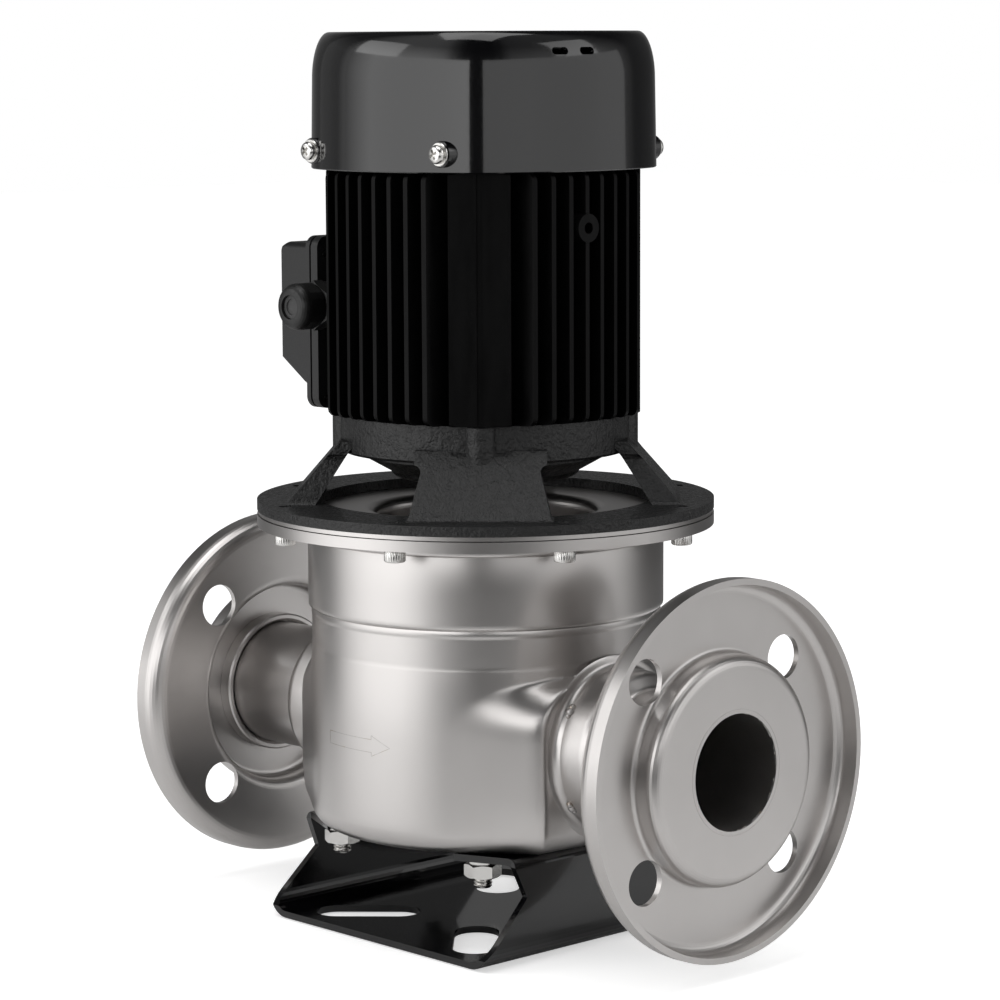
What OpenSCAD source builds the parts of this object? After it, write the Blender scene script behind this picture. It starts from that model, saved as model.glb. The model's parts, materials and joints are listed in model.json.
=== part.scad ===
// Vertical in-line circulation pump: pressed stainless pot, cast motor bracket, finned motor.
// Origin on the floor below the motor axis, +Z up, +X along the flow towards the discharge port.

/* [Ports] */
// Distance between the two gasket faces
face_to_face = 280; // [276:1:290]
// Height of the port axis above the floor
port_z = 82; // [81:0.5:84]
// Inside diameter of the port tubes
port_bore = 46; // [44:0.5:47]
// Wall of the port tubes
port_wall = 1.6; // [1.2:0.1:1.8]
// Outer diameter of the port flanges
flange_od = 150; // [148:1:156]
// Bolt circle of the port flanges
flange_pcd = 110; // [108:1:114]
// Bolt holes in each port flange
flange_holes = 4; // [4:4:8]
// Diameter of the flange bolt holes
flange_hole_d = 18; // [14:0.5:18.5]
// Diameter of the raised gasket face
face_d = 91; // [86:0.5:92]
// Sheet thickness of the pressed flanges
flange_t = 2.5; // [2:0.1:3]
// Depth of the flange web behind the gasket face
web_depth = 11; // [10:0.5:12]
// How far the turned rim stays behind the gasket face
rim_back = 1.5; // [0.5:0.1:2.5]
// Bend radius between rim and web, at mid sheet
rim_bend = 5.5; // [4:0.25:7]
// Radius of the hollow at the foot of the raised face, at mid sheet
foot_bend = 3.2; // [2.5:0.1:3.6]
// Radius of the rounded edge of the raised face, at mid sheet
crown_bend = 3.8; // [3:0.1:4.4]
// Outer diameter of the welded ring behind the gasket face
collar_d = 60; // [58:0.5:64]
// Length of the welded ring
collar_l = 6; // [4:0.5:7]
// Wall of the flared necks
neck_wall = 1.7; // [1.4:0.1:1.9]
// Outer diameter of the wide end of the necks
neck_d = 65.4; // [62:0.2:68]
// Straight length of the wide end of the necks
neck_straight = 10; // [6:0.5:14]
// Bend radius of the neck shoulders, at mid sheet
neck_bend = 5; // [4:0.25:6]
// Angle of the neck shoulders
neck_angle = 50; // [40:1:60]

/* [Pot] */
// Height of the pot from its bottom to the top of its ring
pot_h = 128.6; // [126:0.2:134]
// Outer diameter of the lower chamber
chamber_d = 145.4; // [143:0.2:148]
// Outer diameter of the waist
waist_d = 141; // [139:0.2:142]
// Outer diameter above the waist
neck_pot_d = 146; // [144:0.2:148]
// Height of the bead line above the pot bottom
bead_h = 91.6; // [89:0.2:95]
// Height of the faint crease above the pot bottom
crease_h = 74.5; // [73:0.5:80]
// Outer corner radius of the pot bottom
pot_corner = 9; // [6:0.5:12]
// Sheet thickness of the pot
pot_t = 2; // [1.6:0.1:2.4]
// How far the port block stands out of the lower chamber
block_out = 3.7; // [3:0.1:5]
// Half width of the port block along Y
block_y = 41; // [38:0.5:44]
// Radius of the port block's upright corners
block_r = 7; // [6:0.5:12]
// Radius of the port block's upper edges
block_top_r = 9; // [7:0.5:12]
// Radius of the port block's lower end edges
block_edge = 3; // [2:0.5:4]
// Height of the port block's underside above the pot bottom
block_z0 = 4; // [3:0.5:7]
// Height of the port block's top above the pot bottom
block_z1 = 73; // [71:0.5:74]
// Width of the pot ring outside the pot
ring_w = 20.6; // [19.6:0.1:22]
// Thickness of the pot ring
ring_t = 4.4; // [4:0.2:6]
// Section diameter of the pot O-ring
oring_d = 2.4; // [1.8:0.1:2.6]
// Distance of the ring screws from the ring's outer edge
ring_edge = 7.5; // [7:0.1:8.2]
// Number of ring screws
ring_screws = 8; // [4:4:12]
// Thread diameter of the ring screws
ring_screw_d = 5; // [4:0.5:6]
// Head diameter of the ring screws
ring_head_d = 8.5; // [8:0.1:9.4]
// Head height of the ring screws
ring_head_h = 5; // [4:0.25:6]

/* [Base] */
// Height of the base
base_h = 42; // [40:0.5:44]
// Width of the base between the outsides of its walls at the floor
base_w = 132; // [128:1:136]
// Length of the base plate
base_l = 125; // [120:1:132]
// Sheet thickness of the base
base_t = 2.8; // [2:0.1:3.2]
// Bend radius at the foot of the walls, at mid sheet
base_bend = 8; // [6:0.5:10]
// Bend radius at the top of the walls, at mid sheet
base_top_bend = 3; // [2.4:0.1:4]
// Inward lean of the walls
wall_lean = 5; // [3:0.25:7]
// Half width left between the inner edges of the top flanges
base_gap = 38.2; // [35:0.2:40]
// Half length of the walls at their waist
wall_waist = 39.1; // [36:0.1:42]
// Height of the walls' waist
wall_waist_z = 26; // [22:0.5:29]
// Half length of the top flanges at the bend
top_outer_l = 44.5; // [43:0.5:47]
// Half length of the top flanges at their inner edge
top_inner_l = 54.5; // [52:0.5:57]
// Length of the anchor slots
slot_l = 43.6; // [36:0.2:46]
// Width of the anchor slots
slot_w = 18.2; // [14:0.2:20]
// Distance of the slot centres from the motor axis along X
slot_x = 32.7; // [31:0.1:34]
// Distance of the slot centres from the motor axis along Y
slot_y = 37.3; // [35:0.1:39]
// Distance of the base studs from the middle along X and Y
stud_xy = 42.6; // [42:0.1:44]
// Thread diameter of the base studs
stud_d = 8; // [6:0.5:8]
// Length of the base studs below the pot
stud_l = 14.7; // [14:0.1:17]
// Size across the flats of the base nuts
nut_af = 13; // [12:0.25:14]
// Height of the base nuts
nut_h = 5.5; // [4.5:0.25:6]
// Thickness of the spring washers
washer_t = 2; // [1.6:0.1:2.4]

/* [Wet end] */
// Sheet thickness of the pot cover
cover_t = 1.6; // [1.4:0.1:2]
// Diameter of the dished part of the cover at its top
dish_d = 91; // [86:0.5:96]
// Depth of the dish below the cover rim
dish_h = 28; // [26:0.5:30]
// Wall of the inner suction elbow
elbow_wall = 1.6; // [1.2:0.1:1.8]
// Radial clearance between liner ring and impeller eye
eye_gap = 0.4; // [0.3:0.05:0.6]
// Height of the liner ring
liner_h = 5; // [4:0.25:6]
// Outer diameter of the impeller
impeller_d = 112; // [104:1:120]
// Thickness of the impeller shrouds and vanes
shroud_t = 1.6; // [1.2:0.1:2]
// Clear width between the impeller shrouds
vane_w = 8; // [7:0.5:9]
// Number of impeller vanes
vanes = 6; // [5:1:8]
// Diameter of the impeller hub
impeller_hub_d = 22; // [20:0.5:26]
// Shaft diameter inside the impeller hub
impeller_shaft_d = 12; // [11:0.5:13]
// Width of the impeller key
key_w = 3; // [2.5:0.25:3.5]
// Size across the flats of the impeller nut
impeller_nut_af = 16; // [15:0.5:18]
// Shaft diameter under the mechanical seal
seal_shaft_d = 16; // [15:0.5:16.5]
// Outer diameter of the stationary seal ring
seal_seat_d = 29; // [28:0.5:31]
// Height of the stationary seal ring
seal_seat_h = 6; // [5:0.5:7]
// Height of the rotating seal ring
seal_face_h = 5; // [4:0.5:6]
// Wire diameter of the seal spring
spring_wire_d = 1.8; // [1.4:0.1:2]

/* [Motor bracket] */
// Height of the bracket from the cover to the motor frame
bracket_h = 39.1; // [38:0.1:42]
// Thickness of the bracket's lower flange
bracket_flange_t = 4; // [3.5:0.1:5]
// Inner diameter of the bracket's lower flange
bracket_bore = 136.4; // [132:0.2:140]
// Height of the windows above the lower flange's underside
window_h = 23.7; // [22:0.1:25]
// Outer diameter of the bracket's upper ring
upper_ring_d = 118; // [116:0.5:122]
// Width of the legs at the lower flange
leg_w0 = 56.4; // [50:0.2:60]
// Width of the legs at the upper ring
leg_w1 = 45.5; // [40:0.5:50]
// Outer reach of the legs at the lower flange
leg_r0 = 80; // [78:0.5:84]
// Radial thickness of the legs
leg_t = 8; // [6:0.5:10]
// Height at which the legs' faces reach the upper ring, above the windows
leg_rise = 5.5; // [4:0.5:8]
// Rounding at the feet of the legs
leg_foot = 4; // [2:0.5:6]
// Rounding of the windows' upper corners
window_r = 2.5; // [1.5:0.25:4]
// Width of the bolt bosses on the upper ring
boss_w = 13; // [12:0.5:16]
// Diameter of the bearing bowl at the windows' top
bowl_d = 100; // [96:0.5:104]
// Diameter of the bearing bowl's flat underside
bowl_floor_d = 78; // [72:0.5:84]
// Height of the bearing bowl's underside above the lower flange's underside
bowl_z = 12.8; // [11:0.2:14]
// Wall of the bearing bowl
bowl_wall = 4; // [3.5:0.25:5]

/* [Motor] */
// Height of the finned motor frame
frame_h = 99.1; // [96:0.1:104]
// Distance of the middle fin tips from the motor axis
fin_reach = 63.6; // [62:0.1:64.4]
// Radius of the crowned line that the fin tips of one side lie on
fin_crown = 100; // [85:5:140]
// Reach of the corner columns
column_reach = 63.2; // [62:0.1:64]
// Outer diameter of the frame tube between the fins
frame_tube_d = 102; // [100:0.5:104]
// Inner diameter of the frame tube
frame_bore = 92; // [90:0.5:93]
// Fins on each side of the frame
fins_per_side = 8; // [6:2:8]
// Distance between neighbouring fins
fin_pitch = 8.2; // [7:0.1:8.4]
// Thickness of the fins
fin_t = 2; // [1.6:0.1:2.4]
// Rounding of the fin ends
fin_round = 3.5; // [2:0.25:5]
// Width of the corner columns
column_w = 24.5; // [22:0.5:26]
// Width of the groove down each corner column
groove_w = 2.4; // [1.6:0.2:3.2]
// Depth of the groove down each corner column
groove_d = 1; // [0.6:0.1:1.6]
// Distance of the tie bolts from the motor axis
tie_r = 56; // [55.5:0.1:57]
// Thread diameter of the tie bolts
tie_d = 5; // [4:0.5:5.5]
// Diameter of the small round boss on the frame
plug_boss_d = 11.3; // [9:0.1:12]
// Hole in the small round boss
plug_hole_d = 4.5; // [3:0.1:5.5]
// Height of the small boss above the frame's lower end
plug_boss_h = 76.9; // [72:0.1:80]
// Length of the stator core
stator_l = 60; // [50:1:62]
// Inner diameter of the stator core
stator_bore = 54.4; // [52:0.2:56]
// Air gap between rotor and stator
air_gap = 0.35; // [0.3:0.05:0.5]
// Height of the winding heads
winding_h = 12; // [8:0.5:13]
// Shaft diameter inside the rotor core
core_shaft_d = 20; // [18:0.5:22]

/* [Bearings] */
// Bore of the lower ball bearing
front_bore = 17; // [16.5:0.5:17.5]
// Outer diameter of the lower ball bearing
front_od = 40; // [39:0.5:42]
// Width of the lower ball bearing
front_w = 12; // [11:0.5:13]
// Bore of the upper ball bearing
rear_bore = 15; // [14.5:0.5:15.5]
// Outer diameter of the upper ball bearing
rear_od = 35; // [34:0.5:36]
// Width of the upper ball bearing
rear_w = 11; // [10:0.5:12]
// Balls in each bearing
balls = 8; // [7:1:8]
// Clearance between balls and raceways
ball_gap = 0.08; // [0.05:0.01:0.1]

/* [Fan and hood] */
// Height of the fan hood
hood_h = 54.6; // [52:0.2:58]
// Half width of the fan hood at the middle of its sides
hood_half = 65.5; // [65:0.1:67]
// Half width of the fan hood at its corners
hood_diagonal = 69.9; // [69.6:0.1:72]
// Radius of the crowned sides of the fan hood
hood_crown = 93; // [80:1:120]
// Inward reach of the hood's rounded top edge
hood_edge = 7; // [5:0.5:9]
// Height of the hood's rounded top edge
hood_edge_h = 19; // [12:1:24]
// Draft angle of the hood's sides
hood_draft = 1; // [0.5:0.1:2]
// Wall of the fan hood
hood_t = 2; // [1.6:0.1:2.4]
// Rings of air slots in the hood's top
grille_rings = 6; // [4:1:6]
// Width of the air slots
grille_slot = 3.4; // [2.5:0.1:4]
// Distance between neighbouring rings of slots
grille_pitch = 6.6; // [6:0.1:7]
// Width of the bars across the air slots
grille_bar = 4; // [3:0.25:6]
// Width of the two small slots near the hood's top
vent_w = 7.3; // [5:0.1:9]
// Height of the two small slots near the hood's top
vent_h = 2.9; // [2:0.1:4]
// Distance of the two small slots below the hood's top
vent_drop = 7.8; // [6:0.1:10]
// Distance of the hood screws from the middle along X
hood_screw_x = 38; // [36:0.5:40]
// Height of the hood screws above the hood's lower edge
hood_screw_z = 7.4; // [7:0.1:9]
// Thread diameter of the hood screws
hood_screw_d = 4; // [3:0.5:5]
// Head diameter of the hood screws
hood_head_d = 7.4; // [6.5:0.1:8.4]
// Thickness of the rear end shield
shield_t = 4; // [3.5:0.25:5]
// Outer diameter of the cooling fan
fan_d = 98; // [90:1:100]
// Height of the fan blades
blade_h = 18; // [12:0.5:20]
// Number of fan blades
fan_blades = 8; // [6:1:9]
// Diameter of the shaft under the fan
fan_shaft_d = 12; // [11:0.5:13]

/* [Terminal box] */
// Half width of the terminal box rim
box_half = 31.8; // [30:0.2:33]
// Half width of the terminal box neck
box_neck_half = 27; // [25:0.5:28]
// Height of the rim's lower edge above the motor frame's lower end
box_z0 = -1.8; // [-2.4:0.1:0]
// Height of the terminal box rim
box_h = 71.8; // [68:0.2:74]
// Distance of the rim's back from the motor axis
box_rim_x = 67.3; // [66:0.1:69]
// Thickness of the terminal box rim
box_rim_t = 4; // [3.5:0.1:5]
// Depth of the lid in front of the gasket
lid_depth = 18; // [16:0.2:20]
// Height of the slope at the lid's lower end
lid_slope_h = 12; // [9:0.2:14]
// Height of the lid's lower shelf above the rim's lower edge
lid_shelf_h = 8.6; // [8:0.2:11]
// Wall of the terminal box and lid
box_wall = 2; // [1.6:0.1:2.4]
// Distance of the cable gland's axis from the motor axis
gland_x = 63.6; // [63:0.1:65]
// Height of the cable gland's axis above the rim's lower edge
gland_h = 43.6; // [42:0.2:46]
// Size across the flats of the cable gland
gland_af = 18; // [16:0.5:18.5]
// Length of the cable gland outside the box
gland_l = 18.5; // [18:0.5:22]
// Opening in the end of the cable gland
gland_hole_d = 10; // [8:0.5:11]
// Distance of the lid screws from the edges of the lid
lid_screw_edge = 4.5; // [4:0.1:5.5]

/* [Hidden] */

// Clearance between pieces that are welded or fixed together
seat_gap = 0.1;
// Clearance between pieces that must not touch
free_gap = 0.4;
round_fn = 96;
eps = 0.01;

// Running and seating clearance of the bearings
bearing_gap = 0.05;

// Sizes that follow from the pot
ring_d = neck_pot_d + 2 * ring_w;
ring_pcd = ring_d - 2 * ring_edge;
block_x = chamber_d / 2 + block_out;

// Heights above the floor, from the bottom up
ring_top = base_h + pot_h;
ring_z0 = ring_top - ring_t;
cover_z0 = ring_top + 0.3;
bracket_z0 = cover_z0 + cover_t + seat_gap;
frame_z0 = bracket_z0 + bracket_h;
frame_z1 = frame_z0 + frame_h;
hood_top = frame_z1 + hood_h;
frame_mid = (frame_z0 + frame_z1) / 2;

// Wet end heights; the liner ring sits above the elbow's level part
elbow_top = port_z + port_bore / 2 + port_wall + 0.6;
eye_z0 = elbow_top + 0.6;
front_shroud_z = elbow_top + liner_h + 1.5;
back_shroud_z = front_shroud_z + shroud_t + vane_w;
hub_z0 = back_shroud_z - 6;
hub_z1 = back_shroud_z + shroud_t + 2.4;
dish_z0 = cover_z0 + cover_t - dish_h;
seat_z0 = dish_z0 - 0.4;
face_z0 = seat_z0 - 0.05 - seal_face_h;

// Bearings
front_z0 = bracket_z0 + bowl_z + 3.5;
rear_z0 = frame_z1 - rear_w + 0.5;
shield_z1 = frame_z1 + shield_t;

// Radii that several pieces share
tube_r = port_bore / 2 + port_wall;
sleeve_r = tube_r + seat_gap + neck_wall;
port_hole_r = tube_r + seat_gap;
pot_ring_bore = neck_pot_d / 2 + seat_gap;
seal_r = seal_shaft_d / 2;

// Points along an arc
function arc(c, r, a0, a1, n = 8) = [for (i = [0:n]) c + r * [cos(a0 + (a1 - a0) * i / n), sin(a0 + (a1 - a0) * i / n)]];
function flip(list) = [for (i = [len(list) - 1:-1:0]) list[i]];

// Rounding of radius f at corner p between directions u and v
function fillet(p, u, v, f) =
    let (mid = (u + v) / 2)
    let (c = p + f / sin((v - u) / 2) * [cos(mid), sin(mid)])
        arc(c, f, u - 90, v - 270, 5);

// One bend of a sheet: centre, radius at mid sheet, start and end angle
function bend(c, r, a0, a1) = [c, r, a0, a1, sign(a1 - a0), 8];
// End of a sheet: a point and the direction of its left side
function tip(p, a) = [p, 0, a, a, -1, 0];
function side_of(bends, t, s) = [
    for (b = bends)
        for (i = [0:b[5]])
            let (a = b[5] == 0 ? b[2] : b[2] + (b[3] - b[2]) * i / b[5])
                b[0] + (b[1] - b[4] * s * t / 2) * [cos(a), sin(a)]
];
// Outline of a bent sheet of thickness t
function sheet(bends, t) = concat(side_of(bends, t, 1), flip(side_of(bends, t, -1)));

module ring(r_out, r_in, h) {
    difference() {
        cylinder(r = r_out, h = h, $fn = round_fn);
        translate([0, 0, -1])
            cylinder(r = r_in, h = h + 2, $fn = round_fn);
    }
}

module at_z(z) {
    translate([0, 0, z])
        children();
}

// Copies on the four diagonals at distance r from the axis
module on_diagonals(r) {
    for (a = [45:90:315])
        rotate([0, 0, a])
            translate([r, 0, 0])
                children();
}

module hexagon(af, h) {
    cylinder(d = af / cos(30), h = h, $fn = 6);
}

// A nut or hexagon head whose corners are turned down at both ends
module hex_turned(af, h) {
    intersection() {
        hexagon(af, h);
        cylinder_turned(af / cos(30) / 2, h, (1 / cos(30) - 1) * af / 2);
    }
}

// A round bar with both ends chamfered at 30 degrees
module cylinder_turned(r, h, c) {
    rotate_extrude($fn = round_fn)
        polygon([[0, 0], [r - c, 0], [r, c * tan(30)], [r, h - c * tan(30)], [r - c, h], [0, h]]);
}

// A square with rounded corners, as arcs
module round_square(w, h, r) {
    square([w, h - 2 * r], center = true);
    square([w - 2 * r, h], center = true);
    for (x = [-1, 1], y = [-1, 1])
        translate([x * (w / 2 - r), y * (h / 2 - r)])
            circle(r = r, $fn = 48);
}

// A piece drawn along +Z, moved to the port axis and turned to +X or -X
module at_port(side) {
    translate([0, 0, port_z])
        rotate([0, side * 90, 0])
            children();
}

// Pressed port flange: turned rim, web with bolt holes and raised gasket face
module port_flange(side) {
    rim_r = flange_od / 2 - flange_t / 2;
    hub_r = face_d / 2 - flange_t / 2;
    web_m = -web_depth - flange_t / 2;
    face_m = -flange_t / 2;
    bends = [
        tip([rim_r, -rim_back], 0),
        bend([rim_r - rim_bend, web_m + rim_bend], rim_bend, 0, -90),
        bend([hub_r + foot_bend, web_m + foot_bend], foot_bend, -90, -180),
        bend([hub_r - crown_bend, face_m - crown_bend], crown_bend, 0, 90),
        tip([tube_r + seat_gap, face_m], -90)
    ];
    at_port(side)
        at_z(face_to_face / 2)
            difference() {
                rotate_extrude($fn = round_fn)
                    polygon(sheet(bends, flange_t));
                for (i = [0:flange_holes - 1])
                    rotate([0, 0, (i + 0.5) * 360 / flange_holes])
                        translate([flange_pcd / 2, 0, -web_depth - 2 * flange_t])
                            cylinder(d = flange_hole_d, h = web_depth + 3 * flange_t, $fn = 48);
            }
}

// Ring welded behind the gasket face, with a turned inner edge
module port_collar(side) {
    r_in = sleeve_r + free_gap;
    r_out = collar_d / 2;
    z1 = face_to_face / 2 - flange_t - seat_gap;
    z0 = z1 - collar_l;
    at_port(side)
        rotate_extrude($fn = round_fn)
            polygon([[r_in, z1], [r_in, z0 + 1.2], [r_in + 1.2, z0], [r_out - 0.6, z0], [r_out, z0 + 0.6], [r_out, z1]]);
}

// Port tube from the gasket face into the neck
module port_tube(side) {
    z1 = face_to_face / 2;
    at_port(side)
        at_z(block_x + 6)
            ring(tube_r, port_bore / 2, z1 - block_x - 6);
}

// Flared neck between the port block and the port tube
module port_neck(side) {
    wide = neck_d / 2 - neck_wall / 2;
    slim = sleeve_r - neck_wall / 2;
    drop = wide - slim - 2 * neck_bend * (1 - cos(neck_angle));
    z0 = block_x + seat_gap;
    z1 = z0 + neck_straight;
    z2 = z1 + 2 * neck_bend * sin(neck_angle) + drop / tan(neck_angle);
    z3 = face_to_face / 2 - flange_t - collar_l / 2;
    bends = [
        tip([wide, z0], 180),
        bend([wide - neck_bend, z1], neck_bend, 0, neck_angle),
        bend([slim + neck_bend, z2], neck_bend, 180 + neck_angle, 180),
        tip([slim, z3], 180)
    ];
    at_port(side)
        rotate_extrude($fn = round_fn)
            polygon(sheet(bends, neck_wall));
}

// Pot outline; i is the distance inside the outer skin
module pot_round(i) {
    low = chamber_d / 2 - i;
    waist = waist_d / 2 - i;
    high = neck_pot_d / 2 - i;
    top = ring_top + (i > 0 ? 1 : 0);
    rotate_extrude($fn = round_fn)
        polygon(concat(
            [[0, base_h + i]],
            arc([chamber_d / 2 - pot_corner, base_h + pot_corner], pot_corner - i, -90, 0),
            [[low, base_h + crease_h - 5], [waist, base_h + crease_h]],
            [[waist, base_h + bead_h - 1.6], [high, base_h + bead_h]],
            [[high, top], [0, top]]
        ));
}

// Flat sides from the round pot to the block's corners: distance and direction
block_side = chamber_d / 2 - 0.6;
block_turn = atan2(block_y, block_x) + acos(block_side / norm([block_x, block_y]));

// Block that carries both ports, rounded along all its edges
module pot_block(i) {
    h = block_z1 - block_z0 - 2 * i;
    edge = block_edge - (i > 0 ? pot_t - 0.5 : 0);
    at_z(base_h + block_z0 + i)
        intersection() {
            linear_extrude(h)
                block_plan(i);
            block_prism(block_x - i, h, block_top_r - i, edge);
            rotate(block_turn)
                block_prism(block_side - i, h, block_top_r - i, edge);
            rotate(-block_turn)
                block_prism(block_side - i, h, block_top_r - i, edge);
        }
}

// Prism across X with rounded upper and lower edges
module block_prism(half, h, r_top, r_low) {
    translate([0, ring_d / 2, 0])
        rotate([90, 0, 0])
            linear_extrude(ring_d)
                block_section(half, h, r_top, r_low);
}

// Plan of the block with rounded upright corners
module block_plan(i) {
    r = block_r;
    x = block_x - r;
    y = (block_side - r - x * cos(block_turn)) / sin(block_turn);
    corner = concat(
        arc([x, y], r - i, 0, block_turn),
        [(block_side - i) * [cos(block_turn), sin(block_turn)]]
    );
    half = concat(corner, [for (p = flip(corner)) [-p[0], p[1]]]);
    polygon(concat(half, [for (p = flip(half)) [p[0], -p[1]]]));
}

// Upright section with rounded upper and lower corners
module block_section(half, h, r_top, r_low) {
    side = concat(
        arc([half - r_low, r_low], r_low, -90, 0),
        arc([half - r_top, h - r_top], r_top, 0, 90)
    );
    polygon(concat(side, [for (p = flip(side)) [-p[0], p[1]]]));
}

module casing() {
    color("silver")
        difference() {
            union() {
                pot_round(0);
                pot_block(0);
            }
            pot_round(pot_t);
            pot_block(pot_t);
            for (side = [-1, 1])
                at_port(side)
                    at_z(block_x - 2 * pot_t)
                        cylinder(r = port_hole_r, h = 3 * pot_t, $fn = round_fn);
        }
}

// Ring round the top of the pot, with the O-ring groove in its upper face
module casing_ring() {
    groove_r = pot_ring_bore + 1.6;
    color("gainsboro")
        difference() {
            at_z(ring_z0)
                ring(ring_d / 2, pot_ring_bore, ring_t);
            at_z(ring_top - oring_d)
                ring(groove_r + oring_d + 0.4, groove_r, 2 * oring_d);
            ring_holes(ring_screw_d + 0.6);
        }
}

module casing_oring() {
    groove_r = pot_ring_bore + 1.6;
    color("black")
        at_z(ring_top - oring_d / 2)
            rotate_extrude($fn = round_fn)
                translate([groove_r + oring_d / 2 + 0.2, 0])
                    circle(d = oring_d, $fn = 24);
}

module ring_holes(d) {
    for (i = [0:ring_screws - 1])
        rotate([0, 0, (i + 0.5) * 360 / ring_screws])
            translate([ring_pcd / 2, 0, ring_z0 - 1])
                cylinder(d = d, h = ring_t + cover_t + bracket_flange_t + 4, $fn = 24);
}

// Socket head screws put in from below the ring
module ring_screws_set() {
    color("lightgray")
        for (i = [0:ring_screws - 1])
            rotate([0, 0, (i + 0.5) * 360 / ring_screws])
                translate([ring_pcd / 2, 0, ring_z0 - seat_gap])
                    difference() {
                        union() {
                            at_z(-ring_head_h)
                                cylinder(d = ring_head_d, h = ring_head_h, $fn = 32);
                            cylinder(d = ring_screw_d, h = bracket_z0 + bracket_flange_t - ring_z0 - 0.5, $fn = 32);
                        }
                        at_z(-ring_head_h - 1)
                            hexagon(ring_screw_d - 1, ring_screw_d / 2 + 1);
                    }
}

// Dished cover clamped between pot ring and bracket, with a hub for the seal seat
module casing_cover() {
    r_rim = ring_d / 2 - 0.6;
    r_dish = dish_d / 2;
    hub_r = seal_seat_d / 2 + seat_gap;
    mid = cover_t / 2;
    rb = 4;
    bends = [
        tip([r_rim, cover_z0 + mid], -90),
        bend([r_dish + rb, cover_z0 + mid - rb], rb, 90, 180),
        bend([r_dish - 6, dish_z0 + mid + 6], 6, 0, -90),
        bend([hub_r + mid + 3, dish_z0 + mid + 3], 3, -90, -180),
        tip([hub_r + mid, dish_z0 + seal_seat_h], 180)
    ];
    color("darkgray")
        difference() {
            rotate_extrude($fn = round_fn)
                polygon(sheet(bends, cover_t));
            ring_holes(ring_screw_d + 0.6);
        }
}

// Elbow from the suction port up into the impeller eye
module inner_casing() {
    r = tube_r;
    color("silver")
        difference() {
            union() {
                at_port(-1)
                    cylinder(r = r, h = block_x - seat_gap, $fn = round_fn);
                at_z(port_z)
                    cylinder(r = r, h = elbow_top - port_z, $fn = round_fn);
                at_z(port_z)
                    sphere(r = r, $fn = round_fn);
            }
            at_port(-1)
                cylinder(r = r - elbow_wall, h = block_x + 1, $fn = round_fn);
            at_z(port_z)
                cylinder(r = r - elbow_wall, h = 2 * r, $fn = round_fn);
            at_z(port_z)
                sphere(r = r - elbow_wall, $fn = round_fn);
        }
}

eye_r = tube_r - 2;

module liner_ring() {
    color("peru")
        at_z(elbow_top + seat_gap)
            ring(tube_r + 2, eye_r + eye_gap, liner_h);
}

// Closed impeller with backward curved vanes
module impeller() {
    vane_r = impeller_d * 0.32;
    color("lightsteelblue")
        difference() {
            union() {
                at_z(eye_z0)
                    ring(eye_r, eye_r - shroud_t, front_shroud_z - eye_z0 + shroud_t);
                at_z(front_shroud_z)
                    ring(impeller_d / 2, eye_r - shroud_t, shroud_t);
                at_z(back_shroud_z)
                    cylinder(d = impeller_d, h = shroud_t, $fn = round_fn);
                at_z(hub_z0)
                    cylinder(d = impeller_hub_d, h = hub_z1 - hub_z0, $fn = round_fn);
                at_z(front_shroud_z + shroud_t / 2)
                    linear_extrude(vane_w + shroud_t)
                        for (i = [0:vanes - 1])
                            rotate(i * 360 / vanes)
                                vane_outline(vane_r);
            }
            at_z(hub_z0 - 1)
                cylinder(d = impeller_shaft_d + 0.1, h = hub_z1 - hub_z0 + 2, $fn = 64);
            key_slot(0.1);
        }
}

module vane_outline(r) {
    inner = eye_r - shroud_t / 2;
    outer = impeller_d / 2;
    intersection() {
        difference() {
            circle(r = outer - 0.3, $fn = round_fn);
            circle(r = inner, $fn = round_fn);
        }
        translate([outer - r - 6, r * 0.62])
            difference() {
                circle(r = r + shroud_t / 2, $fn = round_fn);
                circle(r = r - shroud_t / 2, $fn = round_fn);
            }
        translate([0, -outer - r])
            square([outer + 1, outer + r]);
    }
}

module key_slot(c) {
    l = hub_z1 - hub_z0 - 2;
    translate([0, -key_w / 2 - c / 2, hub_z0 + 1 - c])
        cube([impeller_shaft_d / 2 + key_w / 2 + c, key_w + c, l + 2 * c]);
}

module impeller_key() {
    l = hub_z1 - hub_z0 - 2;
    r0 = impeller_shaft_d / 2 - key_w / 2;
    color("gray")
        translate([r0 + 0.05, -key_w / 2, hub_z0 + 1])
            cube([key_w, key_w, l]);
}

module impeller_nut() {
    h = 7;
    color("gainsboro")
        at_z(hub_z0 - h - 0.3)
            difference() {
                hex_turned(impeller_nut_af, h);
                at_z(-1)
                    cylinder(d = impeller_shaft_d - 1.9, h = h + 2, $fn = 48);
            }
}

module seal_seat() {
    color("white")
        at_z(seat_z0)
            ring(seal_seat_d / 2, seal_r + 0.8, seal_seat_h);
}

module seal_face() {
    color("dimgray")
        at_z(face_z0)
            ring(seal_seat_d / 2 - 3, seal_r + 0.1, seal_face_h);
}

// Pressed cup round the rotating seal ring
module seal_holder() {
    r = seal_seat_d / 2 - 3 + 0.1;
    z0 = face_z0 - 1.3;
    color("silver")
        difference() {
            at_z(z0)
                cylinder(r = r + 0.8, h = seal_face_h - 0.5, $fn = round_fn);
            at_z(z0 + 1.2)
                cylinder(r = r, h = seal_face_h, $fn = round_fn);
            at_z(z0 - 1)
                cylinder(r = seal_r + 0.1, h = seal_face_h, $fn = round_fn);
        }
}

// Coil spring between impeller hub and seal holder
spring_z0 = hub_z1 + spring_wire_d / 2 + seat_gap;
spring_z1 = face_z0 - 1.3 - spring_wire_d / 2 - seat_gap;
spring_turns = 3;
spring_steps = 18;
spring_sides = 8;
spring_r = seal_r + spring_wire_d / 2 + 0.6;

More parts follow.
